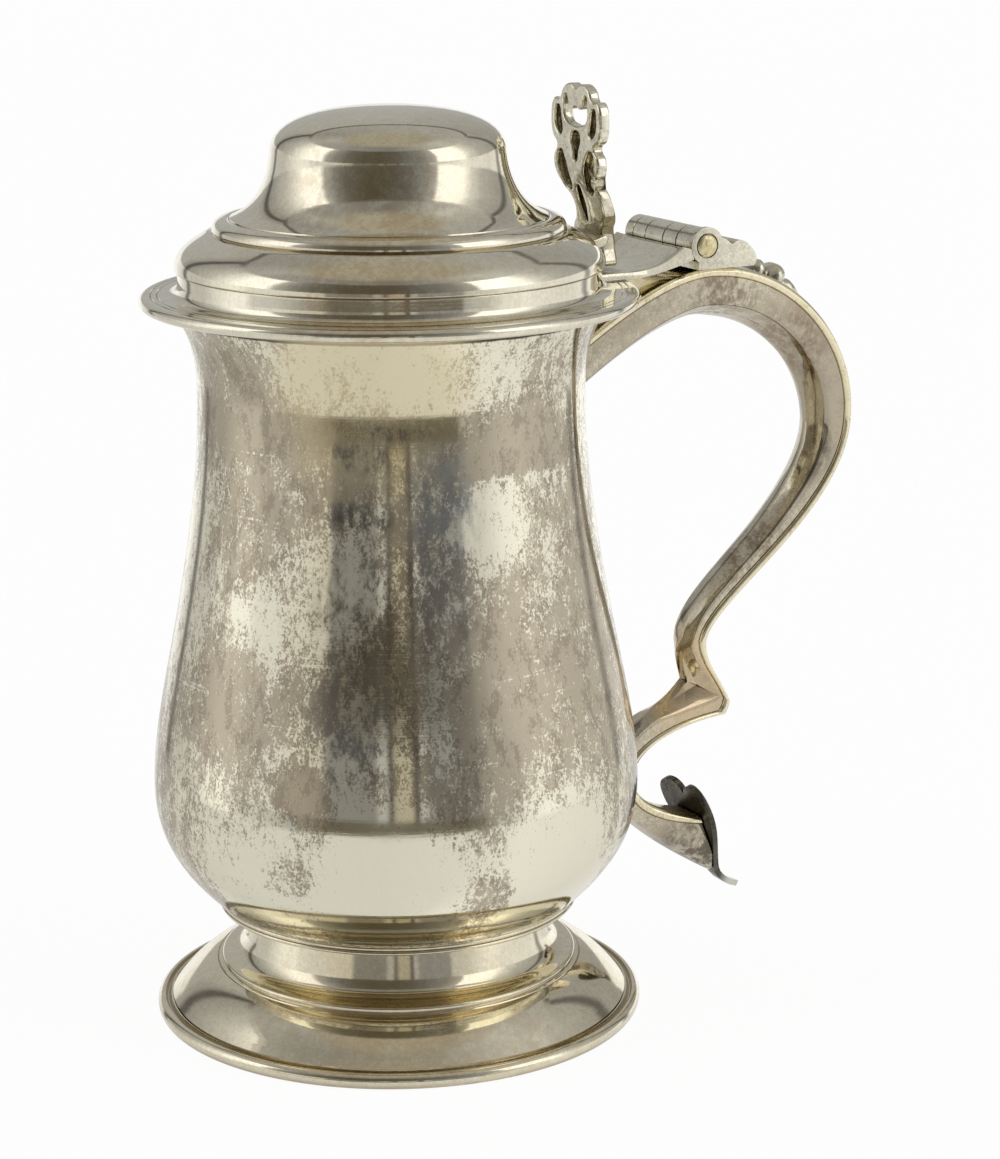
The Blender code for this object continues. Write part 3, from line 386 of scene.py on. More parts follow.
def drawn_out(name, rings):
    """Starts a face of the first ring's shape and draws it out ring by ring to the last."""
    spots = [placed(*spot) for spot in rings[0]]
    piece = flat_shape(name, spots)
    bpy.ops.mesh.select_all(action="SELECT")
    for ring in rings[1:]:
        bpy.ops.mesh.extrude_region_move()
        form = bmesh.from_edit_mesh(piece.data)
        lifted = [vert for vert in form.verts if vert.select]
        order = {tuple(round(v, 9) for v in vert.co): vert for vert in lifted}
        held = [order[tuple(round(v, 9) for v in spot)] for spot in spots]
        spots = [placed(*spot) for spot in ring]
        for vert, spot in zip(held, spots):
            vert.co = spot
        bmesh.update_edit_mesh(piece.data)
    finish_mesh()
    return piece


def cut_away(piece, cutter, keep=False):
    """Cuts one form out of another and takes the cutter away, unless it is kept."""
    bpy.ops.object.select_all(action="DESELECT")
    piece.select_set(True)
    bpy.context.view_layer.objects.active = piece
    bpy.ops.object.modifier_add(type="BOOLEAN")
    trim = piece.modifiers[-1]
    trim.operation = "DIFFERENCE"
    trim.solver = "MANIFOLD"
    trim.object = cutter
    bpy.ops.object.modifier_apply(modifier=trim.name)
    if not keep:
        bpy.data.objects.remove(cutter, do_unlink=True)


def channel_section(place, inward, half, depth, crease):
    """Steep sides, a crisp crease and a bowed floor, hollow, in order round the section."""
    first = STRAP_THICKNESS + STRAP_SEAM
    side = first + (depth - first) * crease
    low = depth - side
    turn = min(1.1, (side - first) * 0.35, low * 0.4)
    bend = Vector((half * 0.985, side))
    middle = Vector((half * 0.1, depth))
    after = bend + (middle - bend).normalized() * turn
    outer = [(half - 0.15, first), (half, first + 0.2)]
    outer += [(half * (1 + 0.01 * math.sin(math.pi * t)), first + (side - turn - first) * t) for t in (0.35, 0.7)]
    before = Vector((half * 0.997, side - turn))
    for t in (0, 0.2, 0.4, 0.6, 0.8, 1):
        outer.append(tuple(before * (1 - t) ** 2 + bend * 2 * t * (1 - t) + after * t * t))
    for t in (0.15, 0.35, 0.55, 0.75, 0.9):
        spot = after.lerp(middle, t)
        outer.append((spot.x, spot.y + low * 0.14 * math.sin(math.pi * t) * (1 - t)))
    outer.append((0.0, depth))
    wall = CHANNEL_WALL
    inner = [(half - wall, first), (half * 0.97 - wall, side - wall * 0.4), (half * 0.5 - wall * 0.4, depth - wall)]
    loop = outer + [(-y, d) for y, d in reversed(outer[:-1])]
    loop += [(-y, d) for y, d in inner] + list(reversed(inner))
    return [(place.x + inward.x * d, y, place.y + inward.y * d) for y, d in loop]


def strap_section(place, inward, half):
    """A flat bar with a crowned back and proud rounded edges, in order round the section."""
    wide = half + 0.6
    thick = STRAP_THICKNESS
    edge = [(wide - 0.5, thick), (wide - 0.14, thick - 0.34), (wide, thick * 0.6), (wide - 0.06, thick * 0.4)]
    edge += [(wide - 0.4, thick * 0.2), (wide - 0.9, thick * 0.1), (wide * 0.62, 0.06), (wide * 0.3, 0.02)]
    loop = edge + [(-y, d) for y, d in reversed(edge)]
    return [(place.x + inward.x * d, y, place.y + inward.y * d) for y, d in loop]


spur = Vector((91.6, 62.28))
spur_in = Vector((-0.8829, 0.4695))
crest = Vector((80.8, 173.0))
elbow = Vector((84.4, 78.48))
upper_line = [Vector((32.8, 150.0))]
upper_line += bent(upper_line[0], Vector((50.56, 162.88)), Vector((67.84, 173.0)), crest, 18)
upper_line += bent(crest, Vector((104.04, 173.0)), Vector((125.5, 153.34)), Vector((125.5, 132.03)), 28)
upper_line += bent(upper_line[-1], Vector((125.5, 107.4)), Vector((85.7, 89.19)), elbow, 28)
CREST_SHARE = 6 / 22
BACK_SHARE = 8 / 22
shares = [CREST_SHARE * k / 18 for k in range(19)]
for start in (CREST_SHARE, CREST_SHARE + BACK_SHARE):
    shares += [start + BACK_SHARE * k / 28 for k in range(1, 29)]
upper_cuts = []
for index, (place, share) in enumerate(zip(upper_line, shares)):
    run = (upper_line[min(index + 1, len(upper_line) - 1)] - upper_line[max(index - 1, 0)]).normalized()
    inward = Vector((run.y, -run.x))
    half = at(((0, 20.4), (0.32, 20.4), (0.64, 12.0), (1, 9.0)), share) / 2
    depth = at(((0, 13.0), (0.32, 13.0), (0.64, 10.4), (0.82, 6.8), (1, 5.0)), share)
    upper_cuts.append((place, inward, half, depth, at(((0, 0.64), (0.6, 0.66), (0.85, 0.68), (1, 0.74)), share)))
last_in = upper_cuts[-1][1]
for index, place in enumerate(bent(elbow, elbow - Vector((0.2, 5.4)), spur + Vector((-2.8, 6.4)), spur, 10), 1):
    share = index / 10
    facing = last_in.lerp(spur_in, share).normalized()
    crease = at(((0, 0.74), (0.3, 0.42), (0.78, 0.18), (1, 0.12)), share)
    upper_cuts.append((place, facing, 4.5, 5.0 + (SPUR_DEPTH - 5.0) * share, crease))

seam = Vector((0.02, 0.04))
tail_end = Vector((82.0, 34.08))
tail_down = Vector((0.3584, -0.9336))
tail_away = Vector((0.9336, 0.3584))
tail_floor = tail_end + tail_down * 18.2
heel = spur + seam - Vector((1.4, 3.4))
hollow = Vector((63.9, 46.2))
touch = Vector((56.7, 46.2))
lower_back = [spur + seam, spur + seam - Vector((0.5, 1.9)), heel]
lower_back += bent(heel, heel - Vector((13.5, 0.6)), hollow + Vector((0, 7.5)), hollow, 18)
lower_back += bent(hollow, hollow - Vector((0, 6.0)), tail_end + Vector((-9.0, 1.6)), tail_end, 20)
root = spur + spur_in * SPUR_DEPTH + seam
lead = root - Vector((1.6, 1.5))
lower_front = [root, root - Vector((0.8, 0.7)), lead]
lower_front += bent(lead, lead - Vector((6.6, 6.2)), touch + Vector((0, 9.5)), touch, 18)
lower_front += bent(touch, touch - Vector((0, 8.5)), tail_floor + Vector((-16.5, 9.5)), tail_floor, 20)
crease_start = lower_back[0].lerp(lower_front[0], 0.14)
crease_run = lower_front[9] - crease_start
lower_cuts = []
for index, (back, front) in enumerate(zip(lower_back, lower_front)):
    if index < 3:
        share = index / 28
    else:
        share = 1 / 14 + (index - 2) / 18 * 6 / 14 if index < 21 else 0.5 + (index - 20) / 40
    across = front - back
    half = at(((0, 9.0), (0.46, 7.8), (0.7, 8.2), (1, 10.4)), share) / 2
    crease = at(((0, 0.9), (0.6, 0.9), (1, 0.6)), share)
    if index < 9:
        crease = min((crease_start - back).cross(crease_run) / across.cross(crease_run), crease)
    lower_cuts.append((back, across.normalized(), half, across.length, crease))

body_form = turned(
    "body_form",
    [
        (0.0, 175.0), (50.3, 175.0), (50.3, 169.3),
        *(tuple((r + SOLDER_GAP, z) for r, z in run) for run in body_outside[1:]), (0.0, 28.0),
    ],
    steps=120,
    fine=12,
)
for level, cuts in (("upper", upper_cuts), ("lower", lower_cuts)):
    channel = drawn_out(f"handle_{level}_hollow", [channel_section(*cut) for cut in cuts])
    cut_away(channel, body_form, keep=True)
    soften(channel, 28)
    seat(channel, "vessel", "handle_silver", handle_metal, f"handle_{level}_channel")
    strap = drawn_out(f"handle_{level}_back", [strap_section(*cut[:3]) for cut in cuts])
    if level == "upper":
        cut_away(strap, body_form, keep=True)
    soften(strap, 50)
    seat(strap, "vessel", "strap_silver", strap_metal_painted_light, f"handle_{level}_strap")
bpy.data.objects.remove(body_form, do_unlink=True)

# Heart terminal
# A heart cut from sheet that closes the hollow tail: two lobes above and a tongue curling out below.
# It is dished a little and soldered round the tail's end, and has gone dark grey brown.
heart_metal = old_silver(
    "heart_old_silver", clean=(0.22, 0.21, 0.18), tarnish=(0.075, 0.066, 0.048), stain=(0.035, 0.03, 0.022),
    cover=0.58, polish=0.13, haze=0.36, veil=(0.3, 0.85), edge=0.08, drag=0.8, shift=9.2, hollow_tarnish_and_shade=0.12,
    patches=(((62.8, 0, 12.2), 8, -0.25),), gold=((62.8, 0, 12.2), 8, (0.95, 0.92, 0.82)),
)
HEART_HALF = 9.5
HEART_HEIGHT = 27.0
HEART_TONGUE = 7.4
HEART_THICKNESS = 1.5
HEART_RISE = 7.6
HEART_CURL = math.radians(40)
heart_top = tail_end - tail_down * HEART_RISE + tail_away * (SOLDER_GAP + HEART_THICKNESS / 2)
notch = Vector((0.0, HEART_HEIGHT * 0.11))
widest = Vector((HEART_HALF, HEART_HEIGHT * 0.27))
neck = Vector((1.9, HEART_HEIGHT))
tip = Vector((0.9, HEART_HEIGHT + HEART_TONGUE))
lobe = bent(notch, Vector((1.3, -1.62)), Vector((HEART_HALF, -1.89)), widest, 16)
flank = bent(widest, Vector((HEART_HALF, 13.5)), Vector((4.0, 20.0)), neck, 18)
flank += bent(neck, Vector((1.7, HEART_HEIGHT + 2.2)), Vector((2.0, tip.y - 2.2)), tip, 10)


def on_heart(across, fall, face):
    """A point of the plate: across it, down its middle line, and on its back (-1) or front (1)."""
    straight = min(fall, HEART_HEIGHT * 0.9)
    bend = HEART_CURL * min((fall - straight) / (HEART_TONGUE * 1.3), 1.0)
    spot = heart_top + tail_down * straight
    spot = spot + (tail_down * math.cos(bend * 0.7) + tail_away * math.sin(bend * 0.7)) * (fall - straight)
    facing = tail_away * math.cos(bend) - tail_down * math.sin(bend)
    curl = max(across, 0.0) ** 2 / HEART_HALF**2 * max(1.0 - fall / (HEART_HEIGHT * 0.7), 0.0)
    spot = spot + facing * (face * HEART_THICKNESS / 2 - 1.7 * curl) - tail_down * 1.3 * curl
    return placed(spot.x, across, spot.y)


def rounded(piece, width, degrees):
    """Rounds the edges of the piece in hand that are sharper than the angle."""
    bpy.ops.object.modifier_add(type="BEVEL")
    bevel = piece.modifiers[-1]
    bevel.width = width * MM
    bevel.segments = 3
    bevel.limit_method = "ANGLE"
    bevel.angle_limit = math.radians(degrees)
    bpy.ops.object.modifier_apply(modifier=bevel.name)


border = [notch] + lobe + flank
border += [Vector((-spot.x, spot.y)) for spot in reversed(lobe + flank)]
heart = flat_shape("heart_plate", [(spot.x * MM, spot.y * MM, 0.0) for spot in border])
cuts = [((0, level * 1.02 * MM, 0), (0, 1, 0)) for level in range(1, 34)]
cuts += [((level * MM, 0, 0), (1, 0, 0)) for level in range(-9, 10)]
for spot, across in cuts:
    bpy.ops.mesh.select_all(action="SELECT")
    bpy.ops.mesh.bisect(plane_co=spot, plane_no=across)
bpy.ops.mesh.select_all(action="SELECT")
bpy.ops.mesh.extrude_region_move(TRANSFORM_OT_translate={"value": (0, 0, HEART_THICKNESS * MM)})
finish_mesh()
for vert in heart.data.vertices:
    face = 1 if vert.co.z > HEART_THICKNESS * MM / 2 else -1
    vert.co = on_heart(vert.co.x / MM, vert.co.y / MM, face)
bpy.ops.object.mode_set(mode="EDIT")
finish_mesh()
rounded(heart, 0.35, 50)
soften(heart, 40)
seat(heart, "vessel", "heart_silver", heart_metal, "heart_terminal")

# Hinge drop
# A cast baluster drop soldered along the handle's back behind the hinge.
# It has a neck, a bead, two rings and a tapering tongue.
hinge_metal = old_silver(
    "hinge_old_silver", clean=(0.86, 0.83, 0.68), tarnish=(0.6, 0.55, 0.42), stain=(0.32, 0.28, 0.2),
    cover=0.45, polish=0.06, haze=0.32, veil=(0.1, 0.42), edge=0.1, drag=1.0, shift=11.4,
    hollow_tarnish_and_shade=0.2, wave=140.0, ripple=0.2,
)
DROP_START = 90.6
DROP_LENGTH = 26.0
DROP_HALF = 4.8
DROP_HEIGHT = 4.6
drop_marks = (
    (0.0, 0.3, 0.5), (0.26, 0.32, 0.5), (0.3, 0.5, 0.6), (0.33, 0.62, 0.72), (0.36, 0.66, 0.78), (0.39, 0.62, 0.72),
    (0.42, 0.48, 0.54), (0.45, 0.5, 0.54), (0.475, 0.8, 0.82), (0.5, 0.93, 0.95), (0.54, 1.0, 1.0), (0.58, 0.95, 0.96),
    (0.61, 0.8, 0.8), (0.635, 0.56, 0.52), (0.66, 0.58, 0.52), (0.7, 0.74, 0.64), (0.76, 0.72, 0.6), (0.86, 0.52, 0.48),
    (0.95, 0.3, 0.32), (1.0, 0.14, 0.2),
)
back_line = [spot for spot in upper_line if spot.x > 80.0]
drop_rings = []
for share, wide, high in drop_marks:
    left = DROP_LENGTH * share
    for low, top in zip(back_line, back_line[1:]):
        if top.x <= DROP_START:
            continue
        first = low.lerp(top, (DROP_START - low.x) / (top.x - low.x)) if low.x < DROP_START else low
        span = (top - first).length
        if left <= span:
            place = first.lerp(top, left / span)
            run = (top - first).normalized()
            break
        left -= span
    rise = Vector((-run.y, run.x))
    half = DROP_HALF * wide
    height = DROP_HEIGHT * high
    dome = [(half, 0.3), (half, height * 0.3), (half * 0.96, height * 0.5), (half * 0.84, height * 0.72)]
    dome += [(half * 0.6, height * 0.9), (half * 0.3, height * 0.98), (0.0, height)]
    dome += [(-y, r) for y, r in reversed(dome[:-1])]
    drop_rings.append([(place.x + rise.x * r, y, place.y + rise.y * r) for y, r in dome])
drop = drawn_out("hinge_drop_baluster", drop_rings)
soften(drop, 50)
seat(drop, "vessel", "hinge_silver", hinge_metal, "hinge_drop")

# Hinge block
# The cast block on the handle's top, shaped along its side like a small cloud, hollowed for the knuckles.
# It is filed flat on both cheeks, of which the near one is whole round the pin, and soldered to the strap.
HINGE = Vector((76.2, 178.9))
HINGE_HALF = 15.5
KNUCKLE_SEAT = 4.42
PIN_SINKING = 3.0


def round_hinge(radius, first, last, count):
    """Points round the hinge's axis from one angle to another."""
    turn = [math.radians(first + (last - first) * step / count) for step in range(count + 1)]
    return [HINGE + Vector((math.cos(a), math.sin(a))) * radius for a in turn]


def plate_across(name, outline, half, bevel):
    """Extrudes a side outline across the hinge's width and rounds its edges."""
    piece = flat_shape(name, [placed(spot.x, -half, spot.y) for spot in outline])
    bpy.ops.mesh.select_all(action="SELECT")
    bpy.ops.mesh.extrude_region_move(TRANSFORM_OT_translate={"value": (0, 2 * half * MM, 0)})
    finish_mesh()
    rounded(piece, bevel, 55)
    return piece


def round_rod(radius, length, sides):
    """An upright rod on the origin."""
    bpy.ops.object.select_all(action="DESELECT")
    bpy.ops.mesh.primitive_cylinder_add(vertices=sides, radius=radius * MM, depth=length * MM)
    return bpy.context.object


def onto_hinge(rod, middle=0.0):
    """Lays an upright rod along the hinge's axis."""
    rod.data.transform(Matrix.Rotation(math.radians(90), 4, "X"))
    rod.data.transform(Matrix.Translation(placed(HINGE.x, middle, HINGE.y)))
    return rod


block_end = HINGE.x + 13.6
block_low = 173.3
block_side = [Vector((HINGE.x - 2.4, block_low)), Vector((block_end - 0.6, block_low))]
for *marks, count in (
    ((block_end + 1.0, block_low + 0.8), (block_end + 0.4, HINGE.y - 2.4), (block_end - 1.8, HINGE.y - 0.6), 10),
    ((block_end - 3.0, HINGE.y + 1.0), (block_end - 5.4, HINGE.y + 1.0), (block_end - 6.6, HINGE.y - 0.1), 10),
    ((block_end - 7.8, HINGE.y + 0.6), (block_end - 8.4, HINGE.y + 1.6), (HINGE.x + 4.09, HINGE.y + 1.58), 8),
):
    block_side += bent(block_side[-1], *map(Vector, marks), count)
block_side += round_hinge(4.4, 21.2, 238, 36)
block = plate_across("hinge_block_cheeks", block_side, HINGE_HALF, 0.3)
cut_away(block, onto_hinge(round_rod(KNUCKLE_SEAT, 30.0, 96), 0.9))
cut_away(block, onto_hinge(round_rod(PIN_SINKING, 1.2, 64), -HINGE_HALF))
soften(block, 40)
seat(block, "vessel", "hinge_silver", hinge_metal, "hinge_block")

# Knuckles
# Five short tubes on one line. Three are soldered in the block's hollow and two in the lid leaf's.
# Their ends are filed true, so that only hairlines show between them; the near one sits behind the cheek.
knuckle_lengths = (
    ("hinge_knuckle_far", "vessel", 11.93, 15.35),
    ("lid_knuckle_far", "lid", 6.35, 11.63),
    ("hinge_knuckle_middle", "vessel", -1.71, 6.05),
    ("lid_knuckle_near", "lid", -7.6, -2.01),
    ("hinge_knuckle_near", "vessel", -15.35, -7.9),
)
KNUCKLE_RADIUS = 4.1
KNUCKLE_BORE = 2.62
FILED = 0.12
CHEEK_INSIDE = -14.0
for node, carrier, low, high in knuckle_lengths:
    low = max(low, CHEEK_INSIDE)
    wall = [(KNUCKLE_BORE, low), (KNUCKLE_RADIUS - FILED, low), (KNUCKLE_RADIUS, low + FILED)]
    wall += [(KNUCKLE_RADIUS, high - FILED), (KNUCKLE_RADIUS - FILED, high), (KNUCKLE_BORE, high)]
    tube = flat_shape(node + "_tube", [placed(HINGE.x + r, y, HINGE.y) for r, y in wall], fill="NOTHING")
    bpy.ops.mesh.select_all(action="SELECT")
    bpy.ops.mesh.spin(steps=48, angle=math.tau, center=placed(HINGE.x, 0, HINGE.y), axis=(0, 1, 0))
    finish_mesh(MERGE)
    soften(tube, 30)
    seat(tube, carrier, "hinge_silver", hinge_metal, node)

# Hinge pin
# A brass rod through all five knuckles, tight in the outer ones, with its ends peened to low domes.
# Handling keeps the domes bright and leaves the rest dull.
pin_metal = old_silver(
    "pin_brass", clean=(0.88, 0.8, 0.54), tarnish=(0.72, 0.62, 0.34), stain=(0.36, 0.28, 0.13),
    cover=0.45, polish=0.2, haze=0.45, veil=(0.4, 0.9), drag=1.0, shift=13.8,
)
PIN_RADIUS = 2.35
PEENED = 1.15
pin = round_rod(PIN_RADIUS, 2 * HINGE_HALF, 64)
pin.name = pin.data.name = "hinge_pin_rod"
bpy.ops.object.mode_set(mode="EDIT")
for side in (-1, 1):
    bpy.ops.mesh.select_all(action="DESELECT")
    form = bmesh.from_edit_mesh(pin.data)
    for face in form.faces:
        if face.normal.z * side > 0.9:
            face.select_set(True)
    bmesh.update_edit_mesh(pin.data)
    bpy.ops.mesh.extrude_region_move()
    bpy.ops.transform.resize(value=(PEENED, PEENED, 1.0))
    for shrink, rise in ((0.14, 0.16), (0.3, 0.16), (0.6, 0.12), (0.8, 0.06)):
        bpy.ops.mesh.inset(thickness=shrink * MM, depth=rise * MM)
bpy.ops.object.mode_set(mode="OBJECT")
onto_hinge(pin)
soften(pin, 40)
seat(pin, "vessel", "pin_brass", pin_metal, "hinge_pin")

# Lid flange
# The wide flat ring that closes the mouth, with a round edge and two fine lines cut near it.
# It is cut straight across where the handle passes.
lid_metal = old_silver(
    "lid_old_silver", clean=(0.9, 0.86, 0.71), tarnish=(0.6, 0.52, 0.37), stain=(0.36, 0.3, 0.22),
    cover=0.45, polish=0.02, haze=0.3, veil=(0.08, 0.14), edge=0.14, drag=1.0, shift=17.0,
    smudges=(
        ((-45, -28, 195), 16, 1.0, (0.64, 0.53, 0.38)), ((-62, -16, 198), 14, 1.0, (0.7, 0.6, 0.45)),
        ((-55, -38, 184), 26, 1.0, (0.74, 0.65, 0.49)), ((-60, -40, 175), 22, 1.0, (0.7, 0.59, 0.43)),
    ),
    hollow_tarnish_and_shade=0.1,
)
flange = turned(
    "lid_flange_ring",
    [
        (45.0, 172.4), (53.1, 172.4), (53.3, 172.1), (53.5, 172.4), (54.6, 172.4), (54.8, 172.1), (55.0, 172.4),
        (56.1, 172.4), ((56.9, 172.4), (57.5, 171.8), (57.5, 171.0)), ((57.5, 170.2), (56.9, 169.6), (56.1, 169.6)),
        (45.0, 169.6), (45.0, 172.4),
    ],
    fine=8,
)
NOTCH_MIDDLE = (57.1, 0.0, 171.0)
NOTCH_SIZE = (12.0, 23.2, 12.0)
bpy.ops.object.select_all(action="DESELECT")
bpy.ops.mesh.primitive_cube_add(size=1.0)
notch_form = bpy.context.object
notch_form.data.transform(Matrix.Diagonal((*(side * MM for side in NOTCH_SIZE), 1.0)))
notch_form.data.transform(Matrix.Translation(placed(*NOTCH_MIDDLE)))
cut_away(flange, notch_form)
soften(flange, 30)
seat(flange, "lid", "lid_silver", lid_metal, "lid_flange")

# Lid bezel
# The plain ring under the flange that drops inside the mouth and centres the lid.
# It is hidden while the lid is shut.
bezel_low, bezel_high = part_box("lid_bezel")
bezel_out = (bezel_high.y - bezel_low.y) / 2 / MM
bezel_foot = bezel_low.z / MM
bezel_head = bezel_high.z / MM
bezel_in = bezel_out - 1.2
bezel = turned(
    "lid_bezel_ring",
    [
        (bezel_out, bezel_head), (bezel_out, bezel_foot + 0.4),
        ((bezel_out, bezel_foot), (bezel_in, bezel_foot), (bezel_in, bezel_foot + 0.4)), (bezel_in, bezel_head),
        (bezel_out, bezel_head),
    ],
    fine=5,
)
soften(bezel)
seat(bezel, "lid", "lid_silver", lid_metal, "lid_bezel")

# Lid band
# The short straight wall between the flange and the rounded shoulder, a strip bent to a ring.
# It is soldered to both.
band = turned(
    "lid_band_ring",
    [
        (46.92, 177.6), (48.3, 177.85), ((48.5, 177.85), (48.6, 177.75), (48.6, 177.5)), (48.6, 174.9),
        ((48.6, 173.4), (49.2, 172.5), (51.0, 172.38)), (46.92, 172.38), (46.92, 177.6),
    ],
    fine=6,
)
soften(band)
seat(band, "lid", "lid_silver", lid_metal, "lid_band")

# Lid dome
# The stepped cover, spun from one sheet: a low dome, a hollow cove, a flat bead and a rounded shoulder.
# Fine lines are cut at the foot of the cove and under the bead.
dome = turned(
    "lid_dome_shell",
    [
        (0.0, 214.5), ((20.16, 214.5), (27.0, 209.74), (27.0, 204.3)),
        ((27.4, 199.2), (29.6, 192.2), (36.4, 189.65)), (36.55, 189.3), (36.9, 189.5),
        ((39.8, 189.5), (40.5, 188.2), (40.5, 186.9)), (40.25, 186.6), (40.6, 186.45), (41.7, 186.3),
        ((46.0, 183.95), (49.2, 182.1), (49.2, 178.3)), ((49.2, 178.1), (49.1, 177.9), (48.8, 177.9)),
        (47.5, 177.9), ((47.5, 181.5), (44.8, 182.8), (40.5, 184.5)), ((38.6, 185.4), (38.6, 187.0), (38.0, 188.0)),
        ((29.6, 190.0), (26.6, 195.0), (26.2, 198.0)), ((25.8, 202.0), (25.7, 206.0), (22.0, 210.5)),
        ((18.0, 213.3), (9.0, 213.3), (0.0, 213.3)),
    ],
    fine=12,
)
soften(dome, 36)
seat(dome, "lid", "lid_silver", lid_metal, "lid_dome")

# Hinge leaf
# The plate from the lid to its knuckles, dished on top with a thick wedge along each edge.
# It is soldered on the flange and against the band, and hollowed for the knuckles.
leaf_low = 172.7
LEAF_START = 36.6
LEAF_THICKNESS = 1.5
LEAF_DISH = 0.85
LEAF_RIDGE = 15.1
RIDGE_SLOPE = 2.6
leaf_side = [Vector((LEAF_START, leaf_low)), Vector((57.5, leaf_low))]
leaf_curve = ((61.5, leaf_low + 0.2), (HINGE.x - 8.0, HINGE.y - 4.4))
leaf_side += bent(leaf_side[-1], *map(Vector, leaf_curve), HINGE + Vector((-3.7, -2.99)), 10)
leaf_side += round_hinge(4.5, 214, 186, 8)
leaf_top = [Vector((HINGE.x - 6.3, HINGE.y + 0.2))]
leaf_curve = ((HINGE.x - 9.6, HINGE.y - 1.8), (HINGE.x - 12.0, leaf_low + 2.1), (56.9, leaf_low + LEAF_THICKNESS))
leaf_top += bent(leaf_top[0], *map(Vector, leaf_curve), 12)
leaf_top.append(Vector((LEAF_START, leaf_low + LEAF_THICKNESS)))
leaf_half = (5.0, 10.0, 12.2, 13.2, 14.0, 14.6, LEAF_RIDGE, 15.4, HINGE_HALF)
leaf_rings = []
for across in (*(-y for y in reversed(leaf_half)), 0.0, *leaf_half):
    inset = min(max((LEAF_RIDGE - abs(across)) / RIDGE_SLOPE, 0.0), 1.0)
    dish = LEAF_DISH * inset * inset * (3 - 2 * inset) + (FILED if abs(across) == HINGE_HALF else 0.0)
    ring = [(spot.x, across, spot.y) for spot in leaf_side]
    leaf_rings.append(ring + [(spot.x, across, spot.y - dish) for spot in leaf_top])
leaf = drawn_out("lid_hinge_leaf_plate", leaf_rings)
lid_form = turned(
    "lid_form",
    [
        (0.0, 190.0), (40.8, 186.7), ((46.3, 184.2), (49.5, 182.3), (49.5, 178.0)), (49.0, 177.6), (48.9, 169.0),
        (0.0, 169.0),
    ],
    steps=120,
)
cut_away(leaf, lid_form, keep=True)
soften(leaf, 40)
seat(leaf, "lid", "hinge_silver", hinge_metal, "lid_hinge_leaf")

# Thumbpiece
# A cast openwork plate of scrolls under a crown, pierced and chased, that the thumb presses to lift the lid.
# It stands on the leaf, leans a little over the lid, and is dark inside its piercings.
thumb_metal = old_silver(
    "thumb_old_silver", clean=(0.9, 0.86, 0.7), tarnish=(0.5, 0.44, 0.31), stain=(0.2, 0.16, 0.1),
    cover=0.4, polish=0.05, haze=0.3, veil=(0.05, 0.45), edge=0.09, drag=1.0, shift=21.5,
    hollow_tarnish_and_shade=0.3, wave=240.0, ripple=0.4,
)
THUMB_HALF = 11.4
THUMB_HEIGHT = 42.6
THUMB_ROUNDING = 0.55
THUMB_FRONT = 53.2
THUMB_FOOT = 174.5
THUMB_THICKNESS = 2.8
THUMB_FOOT_THICKNESS = 4.0
THUMB_LEAN = 4.2
PLATE_MERGE = 0.000005
thumb_edge = [(0.0, 0.975), (0.2, 0.998), (0.5, 0.97), (0.66, 0.912), (0.88, 0.905), (1.0, 0.815), (0.92, 0.7)]
far_edge = [(0.76, 0.654), (0.88, 0.59), (0.82, 0.5), (0.56, 0.42), (0.36, 0.36), (0.38, 0.28), (0.62, 0.2)]
far_edge += [(0.7, 0.1), (0.62, 0.0), (0.3, 0.0), (0.0, 0.0)]
near_edge = [(0.72, 0.656), (0.88, 0.6), (0.86, 0.51), (0.64, 0.464), (0.79, 0.42), (0.81, 0.33), (0.68, 0.25)]
near_edge += [(0.5, 0.2), (0.46, 0.1), (0.5, 0.0), (0.2, 0.0)]
thumb_edge = thumb_edge + far_edge + [(-s, h) for s, h in reversed(thumb_edge[1:] + near_edge)]
crown = [(0.0, 0.876), (0.12, 0.858), (0.26, 0.868), (0.33, 0.915), (0.4, 0.936), (0.45, 0.88), (0.42, 0.8)]
crown += [(0.22, 0.775)]
crown += [(-s, h) for s, h in reversed(crown[1:])]
drop_slot = [(0.0, 0.741), (0.17, 0.712), (0.1, 0.634), (0.0, 0.576)]
stem_slot = [(0.0, 0.445), (0.12, 0.371), (0.08, 0.28), (0.0, 0.24)]
high_slot = [(0.72, 0.872), (0.82, 0.815), (0.72, 0.724), (0.58, 0.716), (0.58, 0.798)]
far_slot = [(0.62, 0.63), (0.74, 0.58), (0.66, 0.51), (0.44, 0.42), (0.27, 0.42), (0.3, 0.5), (0.44, 0.58)]
near_slot = [(-0.6, 0.638), (-0.74, 0.58), (-0.72, 0.48), (-0.58, 0.41), (-0.42, 0.4), (-0.3, 0.48), (-0.38, 0.59)]
slots = [crown, high_slot, [(-s, h) for s, h in high_slot], far_slot, near_slot]
slots += [slot + [(-s, h) for s, h in reversed(slot[1:-1])] for slot in (drop_slot, stem_slot)]


